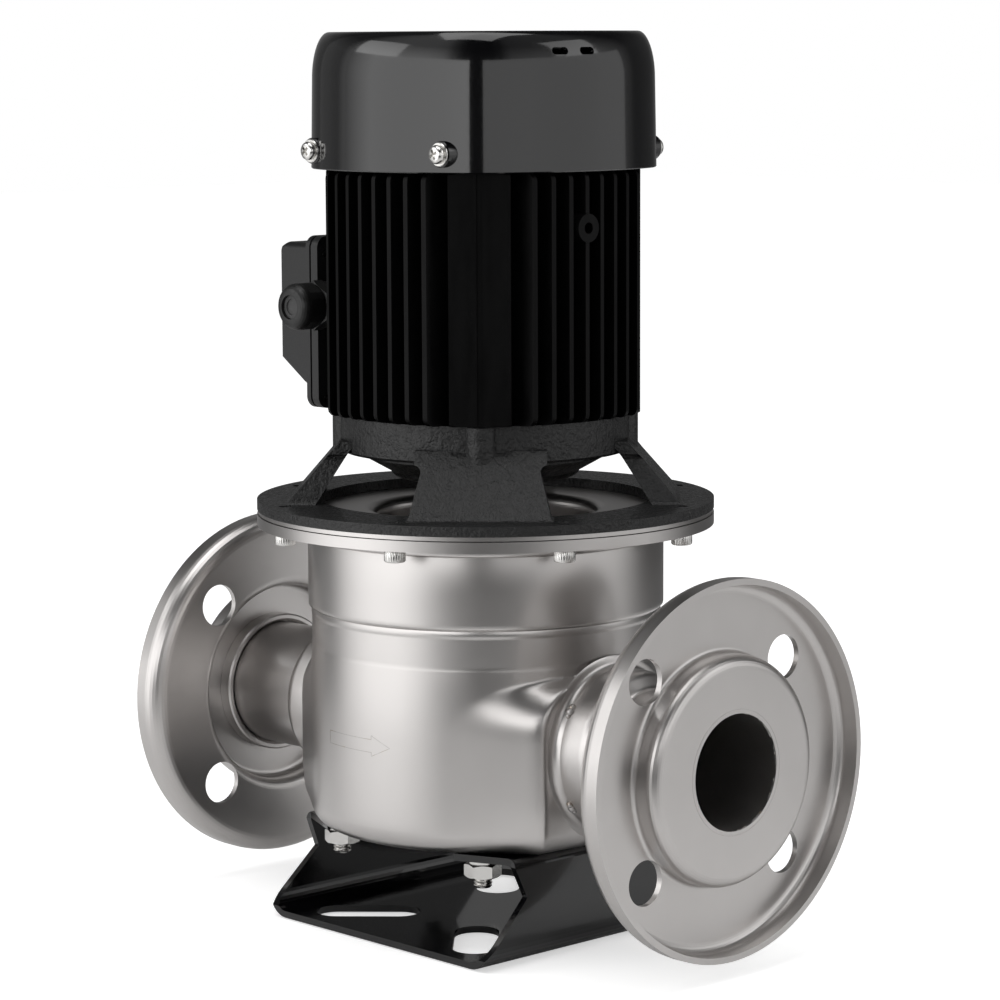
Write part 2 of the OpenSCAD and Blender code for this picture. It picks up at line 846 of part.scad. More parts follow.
function spring_ring(i) =
    let (n = spring_turns * spring_steps)
    let (a = 360 * i / spring_steps)
    let (z = spring_z0 + (spring_z1 - spring_z0) * i / n)
    [
        for (k = [0:spring_sides - 1])
            let (b = 360 * k / spring_sides)
            let (r = spring_r + spring_wire_d / 2 * cos(b))
                [r * cos(a), r * sin(a), z + spring_wire_d / 2 * sin(b)]
    ];

module seal_spring() {
    n = spring_turns * spring_steps;
    s = spring_sides;
    points = [for (i = [0:n]) for (p = spring_ring(i)) p];
    walls = [
        for (i = [0:n - 1], k = [0:s - 1])
            [i * s + k, (i + 1) * s + k, (i + 1) * s + (k + 1) % s, i * s + (k + 1) % s]
    ];
    start = [for (k = [0:s - 1]) k];
    end = [for (k = [s - 1:-1:0]) n * s + k];
    color("gainsboro")
        polyhedron(points, concat([start], walls, [end]), convexity = 6);
}

// Shaft steps from the impeller thread up to the fan seat
thread_z0 = hub_z0 - 9;
fan_z0 = shield_z1 + 3.4;
shaft_top = fan_z0 + 15;

module shaft() {
    steps = [
        [impeller_shaft_d - 2, thread_z0, hub_z0 - 0.2],
        [impeller_shaft_d, hub_z0 - 0.2, hub_z1],
        [seal_shaft_d, hub_z1, front_z0 - 0.2],
        [front_bore, front_z0 - 0.2, front_z0 + front_w],
        [core_shaft_d, front_z0 + front_w, rear_z0],
        [rear_bore, rear_z0, rear_z0 + rear_w + 1.5],
        [fan_shaft_d, rear_z0 + rear_w + 1.5, shaft_top]
    ];
    color("gainsboro")
        difference() {
            rotate_extrude($fn = round_fn)
                polygon(concat(
                    [[0, steps[0][1]]],
                    [for (s = steps) for (z = [s[1], s[2]]) [s[0] / 2, z]],
                    [[0, shaft_top]]
                ));
            key_seat();
            at_z(shaft_top - 2.6)
                ring(fan_shaft_d, fan_shaft_d / 2 - 0.6, 1.2);
        }
}

module key_seat() {
    l = hub_z1 - hub_z0 - 2;
    translate([impeller_shaft_d / 2 - key_w / 2, -key_w / 2 - 0.05, hub_z0 + 0.9])
        cube([key_w, key_w + 0.1, l + 0.2]);
}

// Rubber disc that throws drips off the shaft below the bearing bowl
module shaft_slinger() {
    z1 = bracket_z0 + bowl_z - free_gap;
    color("black")
        rotate_extrude($fn = round_fn)
            polygon([[seal_r + 0.05, z1 - 5], [seal_r + 4, z1 - 5], [seal_r + 4, z1 - 2], [seal_r + 8, z1], [seal_r + 0.05, z1]]);
}

// Ball bearing pieces; the raceways follow the balls
function ball_r(bore, od) = (od - bore) * 0.14;
function pitch_r(bore, od) = (od + bore) / 4;

module bearing_outer(bore, od, w) {
    r = pitch_r(bore, od);
    b = ball_r(bore, od);
    difference() {
        ring(od / 2, r + b * 0.45, w);
        at_z(w / 2)
            rotate_extrude($fn = round_fn)
                translate([r, 0])
                    circle(r = b + ball_gap, $fn = 32);
    }
}

module bearing_inner(bore, od, w) {
    r = pitch_r(bore, od);
    b = ball_r(bore, od);
    difference() {
        ring(r - b * 0.45, bore / 2 + 0.02, w);
        at_z(w / 2)
            rotate_extrude($fn = round_fn)
                translate([r, 0])
                    circle(r = b + ball_gap, $fn = 32);
    }
}

module bearing_balls(bore, od, w) {
    for (i = [0:balls - 1])
        rotate([0, 0, i * 360 / balls])
            translate([pitch_r(bore, od), 0, w / 2])
                sphere(r = ball_r(bore, od), $fn = 32);
}

module bearing_cage(bore, od, w) {
    r = pitch_r(bore, od);
    b = ball_r(bore, od);
    difference() {
        at_z(w / 2 - b * 0.7)
            ring(r + b * 0.25, r - b * 0.25, b * 1.4);
        for (i = [0:balls - 1])
            rotate([0, 0, i * 360 / balls])
                translate([r, 0, w / 2])
                    sphere(r = b + 0.06, $fn = 32);
    }
}

module front_bearing_outer() {
    color("lightgray")
        at_z(front_z0)
            bearing_outer(front_bore, front_od, front_w);
}

module front_bearing_inner() {
    color("lightgray")
        at_z(front_z0)
            bearing_inner(front_bore, front_od, front_w);
}

module front_bearing_balls() {
    color("white")
        at_z(front_z0)
            bearing_balls(front_bore, front_od, front_w);
}

module front_bearing_cage() {
    color("goldenrod")
        at_z(front_z0)
            bearing_cage(front_bore, front_od, front_w);
}

module rear_bearing_outer() {
    color("lightgray")
        at_z(rear_z0)
            bearing_outer(rear_bore, rear_od, rear_w);
}

module rear_bearing_inner() {
    color("lightgray")
        at_z(rear_z0)
            bearing_inner(rear_bore, rear_od, rear_w);
}

module rear_bearing_balls() {
    color("white")
        at_z(rear_z0)
            bearing_balls(rear_bore, rear_od, rear_w);
}

module rear_bearing_cage() {
    color("goldenrod")
        at_z(rear_z0)
            bearing_cage(rear_bore, rear_od, rear_w);
}

module preload_spring() {
    color("silver")
        at_z(rear_z0 + rear_w + 0.1)
            ring(rear_od / 2 - 0.2, rear_od / 2 - 4, 0.8);
}

// Bent base: plate with anchor slots, leaning walls and inward top flanges
module base_plate() {
    color("black")
        difference() {
            intersection() {
                base_section();
                union() {
                    base_side_cut();
                    base_top_cut();
                }
            }
            for (x = [-1, 1], y = [-1, 1])
                translate([x * slot_x, y * slot_y, -1])
                    rotate([0, 0, x * y * 45])
                        slot(slot_l, slot_w, base_t + 2);
            base_stud_places(base_h - 3 * base_t)
                cylinder(d = stud_d + 1, h = 4 * base_t, $fn = 48);
        }
}

module slot(l, w, h) {
    for (s = [-1, 1])
        translate([s * (l - w) / 2, 0, 0])
            cylinder(d = w, h = h, $fn = 48);
    translate([-(l - w) / 2, -w / 2, 0])
        cube([l - w, w, h]);
}

module base_stud_places(z) {
    for (x = [-1, 1], y = [-1, 1])
        translate([x * stud_xy, y * stud_xy, z])
            children();
}

// Bent section of the base seen from its open end
module base_section() {
    half = base_w / 2 - base_t / 2;
    foot = [half - base_bend, base_t / 2 + base_bend];
    rise = base_h - base_t / 2 - base_top_bend - foot[1];
    lean = base_bend * (1 - cos(wall_lean)) + base_top_bend * (1 - cos(wall_lean));
    shift = rise * tan(wall_lean) + lean * 0;
    head = [
        half - base_top_bend - shift - (base_bend - base_top_bend) * (1 / cos(wall_lean) - 1),
        base_h - base_t / 2 - base_top_bend
    ];
    bends = [
        tip([0, base_t / 2], 90),
        bend(foot, base_bend, -90, wall_lean),
        bend(head, base_top_bend, wall_lean, 90),
        tip([base_gap, base_h - base_t / 2], -90)
    ];
    for (side = [0, 1])
        mirror([side, 0, 0])
            translate([0, base_l / 2 + 1, 0])
                rotate([90, 0, 0])
                    linear_extrude(base_l + 2)
                        polygon(sheet(bends, base_t));
}

// Length of the plate and of the notched walls
module base_side_cut() {
    z1 = base_h - base_t - 0.6;
    half = base_l / 2;
    z0 = base_t + 1.5;
    outline = [
        [half, -1], [half, z0], [wall_waist, wall_waist_z], [top_outer_l, z1],
        [-top_outer_l, z1], [-wall_waist, wall_waist_z], [-half, z0], [-half, -1]
    ];
    translate([-base_w / 2 - 1, 0, 0])
        rotate([90, 0, 90])
            linear_extrude(base_w + 2)
                polygon(outline);
}

// Outline of the two top flanges
module base_top_cut() {
    z1 = base_h - base_t - 0.6;
    x1 = base_w / 2 - 5;
    outline = [
        [base_gap - 1, -top_inner_l], [base_gap, -top_inner_l], [x1, -top_outer_l], [x1 + 8, -top_outer_l],
        [x1 + 8, top_outer_l], [x1, top_outer_l], [base_gap, top_inner_l], [base_gap - 1, top_inner_l]
    ];
    for (side = [0, 1])
        mirror([side, 0, 0])
            at_z(z1 - eps)
                linear_extrude(base_t + 2)
                    polygon(outline);
}

module base_studs() {
    color("lightgray")
        base_stud_places(base_h - stud_l)
            rotate_extrude($fn = 48)
                polygon([[0, 0], [stud_d / 2 - 1, 0], [stud_d / 2, 1], [stud_d / 2, stud_l - 0.05], [0, stud_l - 0.05]]);
}

module base_washers() {
    color("silver")
        base_stud_places(base_h - base_t - washer_t - 0.05)
            difference() {
                ring(stud_d / 2 + 1.6, stud_d / 2 + 0.2, washer_t);
                rotate([20, 0, 0])
                    translate([0, -0.4, -washer_t])
                        cube([stud_d, 0.8, 3 * washer_t]);
            }
}

module base_nuts() {
    color("silver")
        base_stud_places(base_h - base_t - washer_t - nut_h - 0.1)
            difference() {
                rotate([0, 0, 12])
                    hex_turned(nut_af, nut_h);
                at_z(-1)
                    cylinder(r = stud_d / 2 + 0.02, h = nut_h + 2, $fn = 48);
            }
}

// Cast bracket: lower flange, four legs, upper ring and bearing bowl
module motor_bracket() {
    color([0.12, 0.12, 0.13])
        difference() {
            union() {
                at_z(bracket_z0)
                    ring(ring_d / 2, bracket_bore / 2, bracket_flange_t);
                bracket_core();
                for (a = [45:90:315])
                    rotate([0, 0, a])
                        bracket_leg();
                on_diagonals(tie_r)
                    at_z(bracket_z0 + window_h)
                        bracket_boss();
            }
            at_z(front_z0 - eps)
                cylinder(r = front_od / 2 + bearing_gap, h = bracket_h, $fn = round_fn);
            at_z(bracket_z0 + bowl_z - 1)
                cylinder(r = seal_r + 1.5, h = 10, $fn = 64);
            on_diagonals(tie_r)
                at_z(bracket_z0 + window_h + 2)
                    cylinder(d = tie_d + 0.1, h = bracket_h, $fn = 32);
            ring_holes(ring_screw_d + 0.1);
        }
}

module bracket_boss() {
    h = bracket_h - window_h - 0.5;
    cylinder(d = boss_w, h = h, $fn = 48);
    translate([-10, -boss_w / 2, 0])
        cube([10, boss_w, h]);
}

// Turned section: upper ring, hollow for the windings, bowl and bearing hub
module bracket_core() {
    z_ring = bracket_z0 + window_h;
    z_top = bracket_z0 + bracket_h;
    z_bowl = bracket_z0 + bowl_z;
    hub = front_od / 2 + 5;
    r_ring = upper_ring_d / 2;
    r_in = frame_bore / 2 - 4;
    floor_r = bowl_floor_d / 2;
    rotate_extrude($fn = round_fn)
        polygon(concat(
            [[seal_r, z_bowl]],
            arc([floor_r - 4, z_bowl + 4], 4, -90, -20, 4),
            [[bowl_d / 2, z_ring - 2], [bowl_d / 2, z_ring]],
            [[r_ring - 1, z_ring], [r_ring, z_ring + 1], [r_ring, z_top - 0.1]],
            [[frame_bore / 2 - 0.1, z_top - 0.1], [frame_bore / 2 - 0.1, z_top + 3], [r_in, z_top + 3]],
            [[r_in, z_ring + 2], [bowl_d / 2 - bowl_wall - 2, z_ring - 1]],
            [[floor_r - 2, z_bowl + bowl_wall], [hub + 1, z_bowl + bowl_wall]],
            [[hub, z_bowl + bowl_wall + 1], [hub, front_z0 + front_w + 1]],
            [[front_od / 2 - 3, front_z0 + front_w + 1], [front_od / 2 - 3, front_z0 - 2], [seal_r, front_z0 - 2]]
        ));
}

// One leg from the lower flange to the upper ring, flared at both ends
module bracket_leg() {
    intersection() {
        rotate([90, 0, 0])
            linear_extrude(2 * leg_w0, center = true)
                polygon(leg_side());
        rotate([90, 0, 90])
            linear_extrude(ring_d / 2)
                polygon(concat(leg_front(), [for (p = flip(leg_front())) [-p[0], p[1]]]));
    }
}

leg_z0 = bracket_z0 + bracket_flange_t;
leg_z1 = bracket_z0 + window_h;
// How far the legs' roundings run into the flange and the ring
leg_sink = 0.4;

// Section of a leg: sloping outer face up to the ring, and inner face
function leg_side() =
    let (top = [upper_ring_d / 2 - 1, leg_z1 + leg_rise])
    let (slope = atan2(top[1] - leg_z0, top[0] - leg_r0))
    let (foot = fillet([leg_r0, leg_z0 - leg_sink], 0, slope, leg_foot))
    concat(
        [[leg_r0 - leg_t - 3, leg_z0 - 2], [foot[0][0], leg_z0 - 2]],
        foot,
        [top, top - [leg_t, 0], [top[0] - leg_t + 4, leg_z1 + 1.7]]
    );

// Right half of a leg seen from outside
function leg_front() =
    let (slope = atan2(leg_z1 - leg_z0, (leg_w1 - leg_w0) / 2))
    let (foot = fillet([leg_w0 / 2, leg_z0 - leg_sink], 0, slope, leg_foot * 0.7))
    let (head = fillet([leg_w1 / 2, leg_z1 + leg_sink], slope - 180, 0, window_r))
    concat(
        [[foot[0][0], leg_z0 - 2]],
        foot,
        head,
        [[head[5][0], leg_z1 + leg_rise + 1]]
    );

// Face of the terminal pad, and the hole for the leads
pad_x = frame_tube_d / 2 + 3;
wire_hole_d = 16;

// Finned frame: bored tube, parallel fins, corner columns and the terminal pad
module motor_frame() {
    color([0.05, 0.05, 0.06])
        difference() {
            union() {
                at_z(frame_z0)
                    cylinder(d = frame_tube_d, h = frame_h, $fn = round_fn);
                for (a = [0:90:270])
                    rotate([0, 0, a])
                        frame_side();
                translate([-pad_x, -box_neck_half - 1, frame_z0 + 1])
                    cube([pad_x - frame_tube_d * 0.4, 2 * box_neck_half + 2, box_h + box_z0 - 4]);
                translate([frame_tube_d / 2 - 2, -fin_pitch / 2, frame_z0 + plug_boss_h])
                    rotate([0, 90, 0])
                        cylinder(d = plug_boss_d, h = fin_reach - frame_tube_d / 2 + 2.6, $fn = 48);
            }
            at_z(frame_z0 - 1)
                cylinder(d = frame_bore, h = frame_h + 2, $fn = round_fn);
            on_diagonals(tie_r)
                at_z(frame_z0 - 1)
                    cylinder(d = tie_d + 0.8, h = frame_h + 2, $fn = 32);
            translate([-pad_x - 20, -box_neck_half - free_gap, frame_z0 - 1])
                cube([20, 2 * box_neck_half + 2 * free_gap, box_h + box_z0 + 2]);
            translate([-pad_x - 1, 0, frame_z0 + box_z0 + gland_h])
                rotate([0, 90, 0])
                    cylinder(d = wire_hole_d, h = pad_x, $fn = 48);
            translate([fin_reach - 6, -fin_pitch / 2, frame_z0 + plug_boss_h])
                rotate([0, 90, 0])
                    cylinder(d = plug_hole_d, h = 20, $fn = 32);
            gland_boss(free_gap);
        }
}

// Fins of one side, cut to the crowned line, and one corner column
module frame_side() {
    root = frame_tube_d / 4;
    intersection() {
        at_z(frame_z0)
            linear_extrude(frame_h)
                for (i = [0:fins_per_side - 1])
                    translate([root, (i - (fins_per_side - 1) / 2) * fin_pitch - fin_t / 2])
                        square([fin_reach, fin_t]);
        translate([fin_reach - fin_crown, 0, 0])
            round_end_body(fin_crown);
    }
    intersection() {
        rotate([0, 0, 45])
            at_z(frame_z0)
                linear_extrude(frame_h)
                    difference() {
                        translate([root, -column_w / 2])
                            square([column_reach - root, column_w]);
                        translate([column_reach - groove_d, -groove_w / 2])
                            square([groove_d + 1, groove_w]);
                    }
        round_end_body(column_reach + 2.4);
    }
}

// Turned body as tall as the frame, with rounded rims
module round_end_body(r) {
    c = r - fin_round;
    rotate_extrude($fn = round_fn)
        polygon(concat(
            [[0, frame_z0]],
            arc([c, frame_z0 + fin_round], fin_round, -90, 0, 6),
            arc([c, frame_z1 - fin_round], fin_round, 0, 90, 6),
            [[0, frame_z1]]
        ));
}

module stator_core() {
    color("dimgray")
        at_z(frame_mid - stator_l / 2)
            ring(frame_bore / 2 - 0.05, stator_bore / 2, stator_l);
}

module stator_windings() {
    r0 = stator_bore / 2 + 3;
    r1 = frame_bore / 2 - 4.5;
    color("chocolate")
        for (s = [0, 1])
            at_z(frame_mid)
                mirror([0, 0, s])
                    at_z(stator_l / 2 + 0.1)
                        rotate_extrude($fn = round_fn)
                            polygon(concat(
                                [[r0, 0], [r1, 0]],
                                arc([r1 - 4, winding_h - 4], 4, 0, 90, 4),
                                arc([r0 + 4, winding_h - 4], 4, 90, 180, 4)
                            ));
}

module rotor_core() {
    color("slategray")
        at_z(frame_mid - stator_l / 2)
            ring(stator_bore / 2 - air_gap, core_shaft_d / 2 + 0.02, stator_l);
}

end_ring_h = 5.5;

module rotor_end_rings() {
    color("lightgray")
        for (s = [0, 1])
            at_z(frame_mid)
                mirror([0, 0, s])
                    at_z(stator_l / 2 + 0.1)
                        ring(stator_bore / 2 - 1, stator_bore / 2 - 8, end_ring_h);
}

// Upper end shield with the bearing hub and lugs for the hood screws
module rear_end_shield() {
    hub = rear_od / 2 + 4.5;
    lug_h = hood_screw_z + lug_w / 2;
    lug_y = hood_wall_y(hood_screw_x + lug_w / 2) - hood_t - lug_h * tan(hood_draft) - free_gap;
    ear_r = 1.2 * tie_d;
    color([0.2, 0.2, 0.21])
        difference() {
            union() {
                at_z(frame_z1 + 0.1)
                    cylinder(r = frame_tube_d / 2 + 1, h = shield_t - 0.1, $fn = round_fn);
                at_z(frame_z1 - 4)
                    cylinder(r = frame_bore / 2 - 0.1, h = 5, $fn = round_fn);
                at_z(rear_z0 - 2)
                    cylinder(r = hub, h = shield_z1 - rear_z0 + 3, $fn = round_fn);
                on_diagonals(tie_r)
                    at_z(frame_z1 + 0.1) {
                        cylinder(r = ear_r, h = shield_t - 0.1, $fn = 48);
                        translate([-tie_r / 2, -ear_r, 0])
                            cube([tie_r / 2, 2 * ear_r, shield_t - 0.1]);
                    }
                for (x = [-1, 1], side = [0, 1])
                    mirror([0, side, 0])
                        translate([x * hood_screw_x - lug_w / 2, lug_y, frame_z1 + 0.1])
                            shield_lug(lug_h);
            }
            at_z(rear_z0 - 3)
                cylinder(r = rear_od / 2 + bearing_gap, h = rear_w + 4, $fn = round_fn);
            at_z(rear_z0)
                cylinder(r = rear_bore / 2 + 2, h = 40, $fn = 64);
            at_z(frame_z1 - 5)
                ring(frame_bore / 2 - 4, hub, 4.5);
            on_diagonals(tie_r)
                at_z(frame_z1 - 1)
                    cylinder(d = tie_d + 0.8, h = 10, $fn = 32);
            hood_screw_places()
                at_z(-hood_screw_l - 4)
                    cylinder(d = hood_screw_d + 0.1, h = hood_screw_l + 8, $fn = 32);
        }
}

lug_w = 10;

// Upright lug for a hood screw, and its foot on the shield
module shield_lug(h) {
    translate([0, -0.8 * lug_w, 0])
        cube([lug_w, 0.8 * lug_w, h]);
    translate([0, -2 * lug_w, 0])
        cube([lug_w, 2 * lug_w, shield_t - 0.1]);
}

module tie_bolts() {
    z0 = bracket_z0 + window_h + 4;
    color("lightgray")
        on_diagonals(tie_r)
            difference() {
                union() {
                    at_z(z0)
                        cylinder(d = tie_d, h = shield_z1 - z0 + 1, $fn = 32);
                    at_z(shield_z1 + 0.1)
                        cylinder(d = 1.7 * tie_d, h = tie_d, $fn = 32);
                }
                at_z(shield_z1 + tie_d / 2)
                    hexagon(0.8 * tie_d, tie_d);
            }
}

// Radial fan on the upper shaft end
module cooling_fan() {
    r_hub = fan_shaft_d / 2 + 5;
    color("dimgray")
        difference() {
            union() {
                at_z(fan_z0)
                    cylinder(r = r_hub, h = 12, $fn = 64);
                at_z(fan_z0)
                    cylinder(d = fan_d, h = 2, $fn = round_fn);
                at_z(fan_z0 + 1)
                    for (i = [0:fan_blades - 1])
                        rotate([0, 0, i * 360 / fan_blades])
                            translate([r_hub - 1, -0.9, 0])
                                cube([fan_d / 2 - r_hub, 1.8, blade_h]);
            }
            at_z(fan_z0 - 1)
                cylinder(r = fan_shaft_d / 2 + 0.02, h = 30, $fn = 64);
        }
}

module fan_clip() {
    color("silver")
        at_z(shaft_top - 2.5)
            ring(fan_shaft_d / 2 + 1.6, fan_shaft_d / 2 - 0.5, 1);
}

// Centres of the hood's crowned sides, from the motor axis
hood_side_c = hood_crown - hood_half;

// Distance of the hood's skin from the middle plane at a place along it
function hood_wall_y(x) = sqrt(pow(hood_crown, 2) - pow(x, 2)) - hood_side_c;

// Crowned sides, cut corners and rounded upper edge, i inside the outer skin
module hood_block(i, h) {
    intersection() {
        hood_disc(hood_diagonal - i, h, hood_edge - i);
        for_side(0)
            hood_disc(hood_crown - i, h, hood_edge - i);
        for_side(90)
            hood_disc(hood_crown - i, h, hood_edge - i);
        for_side(180)
            hood_disc(hood_crown - i, h, hood_edge - i);
        for_side(270)
            hood_disc(hood_crown - i, h, hood_edge - i);
    }
}

module for_side(a) {
    rotate([0, 0, a])
        translate([-hood_side_c, 0, 0])
            children();
}

module hood_disc(r, h, e) {
    rotate_extrude($fn = round_fn)
        hood_section(r, h, e);
}

module hood_section(r, h, e) {
    side_h = h - hood_edge_h;
    top_r = r - side_h * tan(hood_draft);
    polygon(concat(
        [[0, 0], [r, 0]],
        [for (i = [0:8]) [top_r - e * (1 - cos(i * 11.25)), side_h + hood_edge_h * sin(i * 11.25)]],
        [[0, h]]
    ));
}

hood_pad_r = hood_head_d / 2 + 1.5;
hood_washer_t = 0.8;
hood_screw_l = 12;

// Seats of the hood screws, +Z out of the hood
module hood_screw_places() {
    y = hood_wall_y(hood_screw_x - hood_pad_r + 1);
    for (s = [-1, 1], x = [-1, 1])
        translate([x * hood_screw_x, s * y, frame_z1 + hood_screw_z])
            rotate([-s * 90, 0, 0])
                children();
}

module fan_cover() {
    z_vent = hood_h - vent_drop;
    color("black")
        difference() {
            union() {
                at_z(frame_z1)
                    hood_block(0, hood_h);
                hood_screw_places()
                    at_z(-4 * hood_t)
                        cylinder(r = hood_pad_r, h = 4 * hood_t, $fn = 48);
            }
            at_z(frame_z1 - 1)
                hood_block(hood_t, hood_h - hood_t + 1);
            at_z(frame_z1 + hood_h - hood_t - 1)
                grille_slots();
            for (y = [-hood_half * 0.264, -hood_half * 0.064])
                translate([hood_half - 5, y - vent_w / 2, frame_z1 + z_vent - vent_h / 2])
                    cube([10, vent_w, vent_h]);
            hood_screw_places()
                at_z(-hood_screw_l)
                    cylinder(d = hood_screw_d + 0.6, h = 2 * hood_screw_l, $fn = 32);
        }
}

// Rings of air slots with bars between them
module grille_slots() {
    difference() {
        for (i = [0:grille_rings - 1])
            let (r = hood_half * 0.153 + i * grille_pitch)
                ring(r + grille_slot, r, hood_t + 2);
        for (a = [0:45:135])
            rotate([0, 0, a + 22.5])
                translate([-hood_diagonal, -grille_bar / 2, -1])
                    cube([2 * hood_diagonal, grille_bar, hood_t + 4]);
    }
}

// Cross recess screws with washers that hold the hood
module fan_cover_screws() {
    color("lightgray")
        hood_screw_places()
            difference() {
                union() {
                    at_z(0.05)
                        cylinder(r = hood_head_d / 2 + 1, h = hood_washer_t, $fn = 48);
                    at_z(hood_washer_t + 0.1)
                        rotate_extrude($fn = 48)
                            screw_head_section();
                    at_z(-hood_screw_l)
                        cylinder(d = hood_screw_d, h = hood_screw_l + hood_washer_t + 1, $fn = 32);
                }
                for (a = [0, 90])
                    rotate([0, 0, a])
                        translate([-hood_screw_d / 2, -0.5, hood_washer_t + 1.5])
                            cube([hood_screw_d, 1, 3]);
            }
}

module screw_head_section() {
    r = hood_head_d / 2;
    polygon(concat([[0, -0.1], [r, -0.1], [r, 1.2]], arc([r - 1.3, 1.2], 1.3, 0, 90, 5), [[0, 2.6]]));
}

// Terminal box base: neck on the motor pad and a wider rim in front
module terminal_base() {
    z0 = frame_z0 + box_z0;
    color([0.09, 0.09, 0.1])
        difference() {
            union() {
                box_slab(box_rim_x, box_rim_t, box_half, z0, box_h, 5);
                box_slab(pad_x + 0.1, box_rim_x - pad_x, box_neck_half, z0 + 3.2, box_h - 6.4, 3);
                intersection() {
                    gland_boss(0);
                    box_slab(box_rim_x - 16, box_rim_t + 16, box_half, z0, box_h, 1);
                }
            }
            box_slab(pad_x + box_wall + 0.1, 30, box_neck_half - box_wall, z0 + 3.2 + box_wall, box_h - 6.4 - 2 * box_wall, 2);
            translate([-pad_x - 8, 0, z0 + gland_h])
                rotate([0, 90, 0])
                    cylinder(d = wire_hole_d, h = 20, $fn = 48);
            gland_place()
                at_z(-gland_thread_d)
                    cylinder(d = gland_thread_d + 0.2, h = gland_l, $fn = 48);
            lid_screw_places(box_rim_x - 1)
                cylinder(d = lid_screw_d + 0.1, h = lid_depth, $fn = 24);
        }
}

// Slab with rounded corners, its back x0 from the motor axis towards -X
module box_slab(x0, t, half, z0, h, r) {
    translate([-x0, 0, z0 + h / 2])
        rotate([90, 0, -90])
            linear_extrude(t)
                round_square(2 * half, h, r);
}

lid_screw_d = 3;
lid_head_d = 6;
lid_flange_t = 2.4;
gland_thread_d = 12;

// Two of the lid's screws; +Z points out of the box
module lid_screw_pair(x0, z) {
    for (y = [-1, 1])
        translate([-x0, y * (box_half - lid_screw_edge), frame_z0 + box_z0 + z])
            rotate([0, -90, 0])
                children();
}

module lid_screw_places(x0) {
    lid_screw_pair(x0, lid_screw_edge)
        children();
    lid_screw_pair(x0, box_h - lid_screw_edge - 3)
        children();
}

module terminal_gasket() {
    z0 = frame_z0 + box_z0;
    x0 = box_rim_x + box_rim_t + 0.05;
    color("black")
        difference() {
            box_slab(x0, 0.9, box_half - 0.8, z0 + 0.8, box_h - 1.6, 4.4);
            box_slab(x0 - 1, 4, box_half - lid_screw_edge - 2.8, z0 + 5, box_h - 10, 3);
            lid_screw_places(x0 - 3)
                cylinder(d = lid_screw_d + 0.6, h = lid_depth, $fn = 24);
        }
}

// Lid with a sloping lower end and two deep bores for its upper screws
module terminal_lid() {
    z0 = frame_z0 + box_z0;
    x0 = box_rim_x + box_rim_t + 1;
    color([0.11, 0.11, 0.12])
        difference() {
            union() {
                box_slab(x0, lid_flange_t, box_half, z0, box_h, 5);
                difference() {
                    lid_shell(0);
                    lid_shell(box_wall);
                }
                lid_screw_pair(x0, box_h - lid_screw_edge - 3)
                    cylinder(r = lid_screw_edge, h = lid_depth - 2, $fn = 48);
            }
            intersection() {
                lid_shell(box_wall);
                box_slab(x0 - 1, lid_flange_t + 2, box_half - lid_screw_edge - 4, z0, box_h, 3);
            }
            lid_screw_places(x0 - 3)
                cylinder(d = lid_screw_d + 0.6, h = lid_depth, $fn = 24);
            lid_screw_places(x0 + lid_flange_t)
                cylinder(d = lid_head_d + 0.6, h = lid_depth, $fn = 32);
        }
}

module lid_shell(i) {
    z0 = frame_z0 + box_z0;
    x0 = box_rim_x + box_rim_t + 1 - (i > 0 ? 1 : 0);
    x1 = box_rim_x + box_rim_t + 1 + lid_depth - i;
    zs = z0 + lid_shelf_h + i;
    zt = z0 + box_h - 3 - i;
    half = box_half - i;
    intersection() {
        translate([0, half, 0])
            rotate([90, 0, 0])
                linear_extrude(2 * half)
                    polygon([[-x0, zs], [-x1, zs + lid_slope_h], [-x1, zt - 2], [-x1 + 2, zt], [-x0, zt]]);
        box_slab(x0 - 1, lid_depth + 6, half, zs - 1, zt - zs + 1, 4);
    }
}

module terminal_lid_screws() {
    x0 = box_rim_x + box_rim_t + 1;
    color("lightgray")
        lid_screw_places(x0 + lid_flange_t + 0.05)
            difference() {
                union() {
                    cylinder(d = lid_head_d, h = 1.8, $fn = 32);
                    at_z(-lid_flange_t - 2.6)
                        cylinder(d = lid_screw_d, h = lid_flange_t + 3, $fn = 24);
                }
                translate([-lid_head_d / 3, -0.4, 1])
                    cube([lid_head_d / 1.5, 0.8, 2]);
            }
}

// Insulating block with terminal posts inside the lid
module terminal_block() {
    z0 = frame_z0 + box_z0 + 14;
    x0 = pad_x + box_wall + 0.2;
    color("saddlebrown")
        translate([-x0 - 8, -17, z0])
            difference() {
                cube([8, 34, 14]);
                for (y = [6:11:28])
                    translate([-1, y, 7])
                        rotate([0, 90, 0])
                            cylinder(d = 4, h = 5, $fn = 24);
            }
}

// Cable gland beside the rim of the box; +Z points away from the box
module gland_place() {
    translate([-gland_x, -box_half, frame_z0 + box_z0 + gland_h])
        rotate([90, 30, 0])
            children();
}

// Boss under the gland, between neck wall and rim
module gland_boss(c) {
    gland_place()
        at_z(-box_half + box_neck_half - 1)
            cylinder(r = gland_af / 2 + 0.6 + c, h = box_half - box_neck_half + 1 + (c > 0 ? 1 : 0), $fn = 64);
}

module gland_body() {
    color([0.06, 0.06, 0.06])
        gland_place()
            difference() {
                union() {
                    at_z(0.1)
                        hex_turned(gland_af, 6);
                    at_z(-box_half + box_neck_half - box_wall - 2)
                        cylinder(d = gland_thread_d, h = box_half - box_neck_half + box_wall + 4, $fn = 48);
                    at_z(5)
                        cylinder(d = gland_af - 4, h = gland_l - 9, $fn = 48);
                }
                at_z(-box_half + box_neck_half - box_wall - 3)
                    cylinder(d = gland_hole_d - 1, h = gland_l + 20, $fn = 48);
            }
}

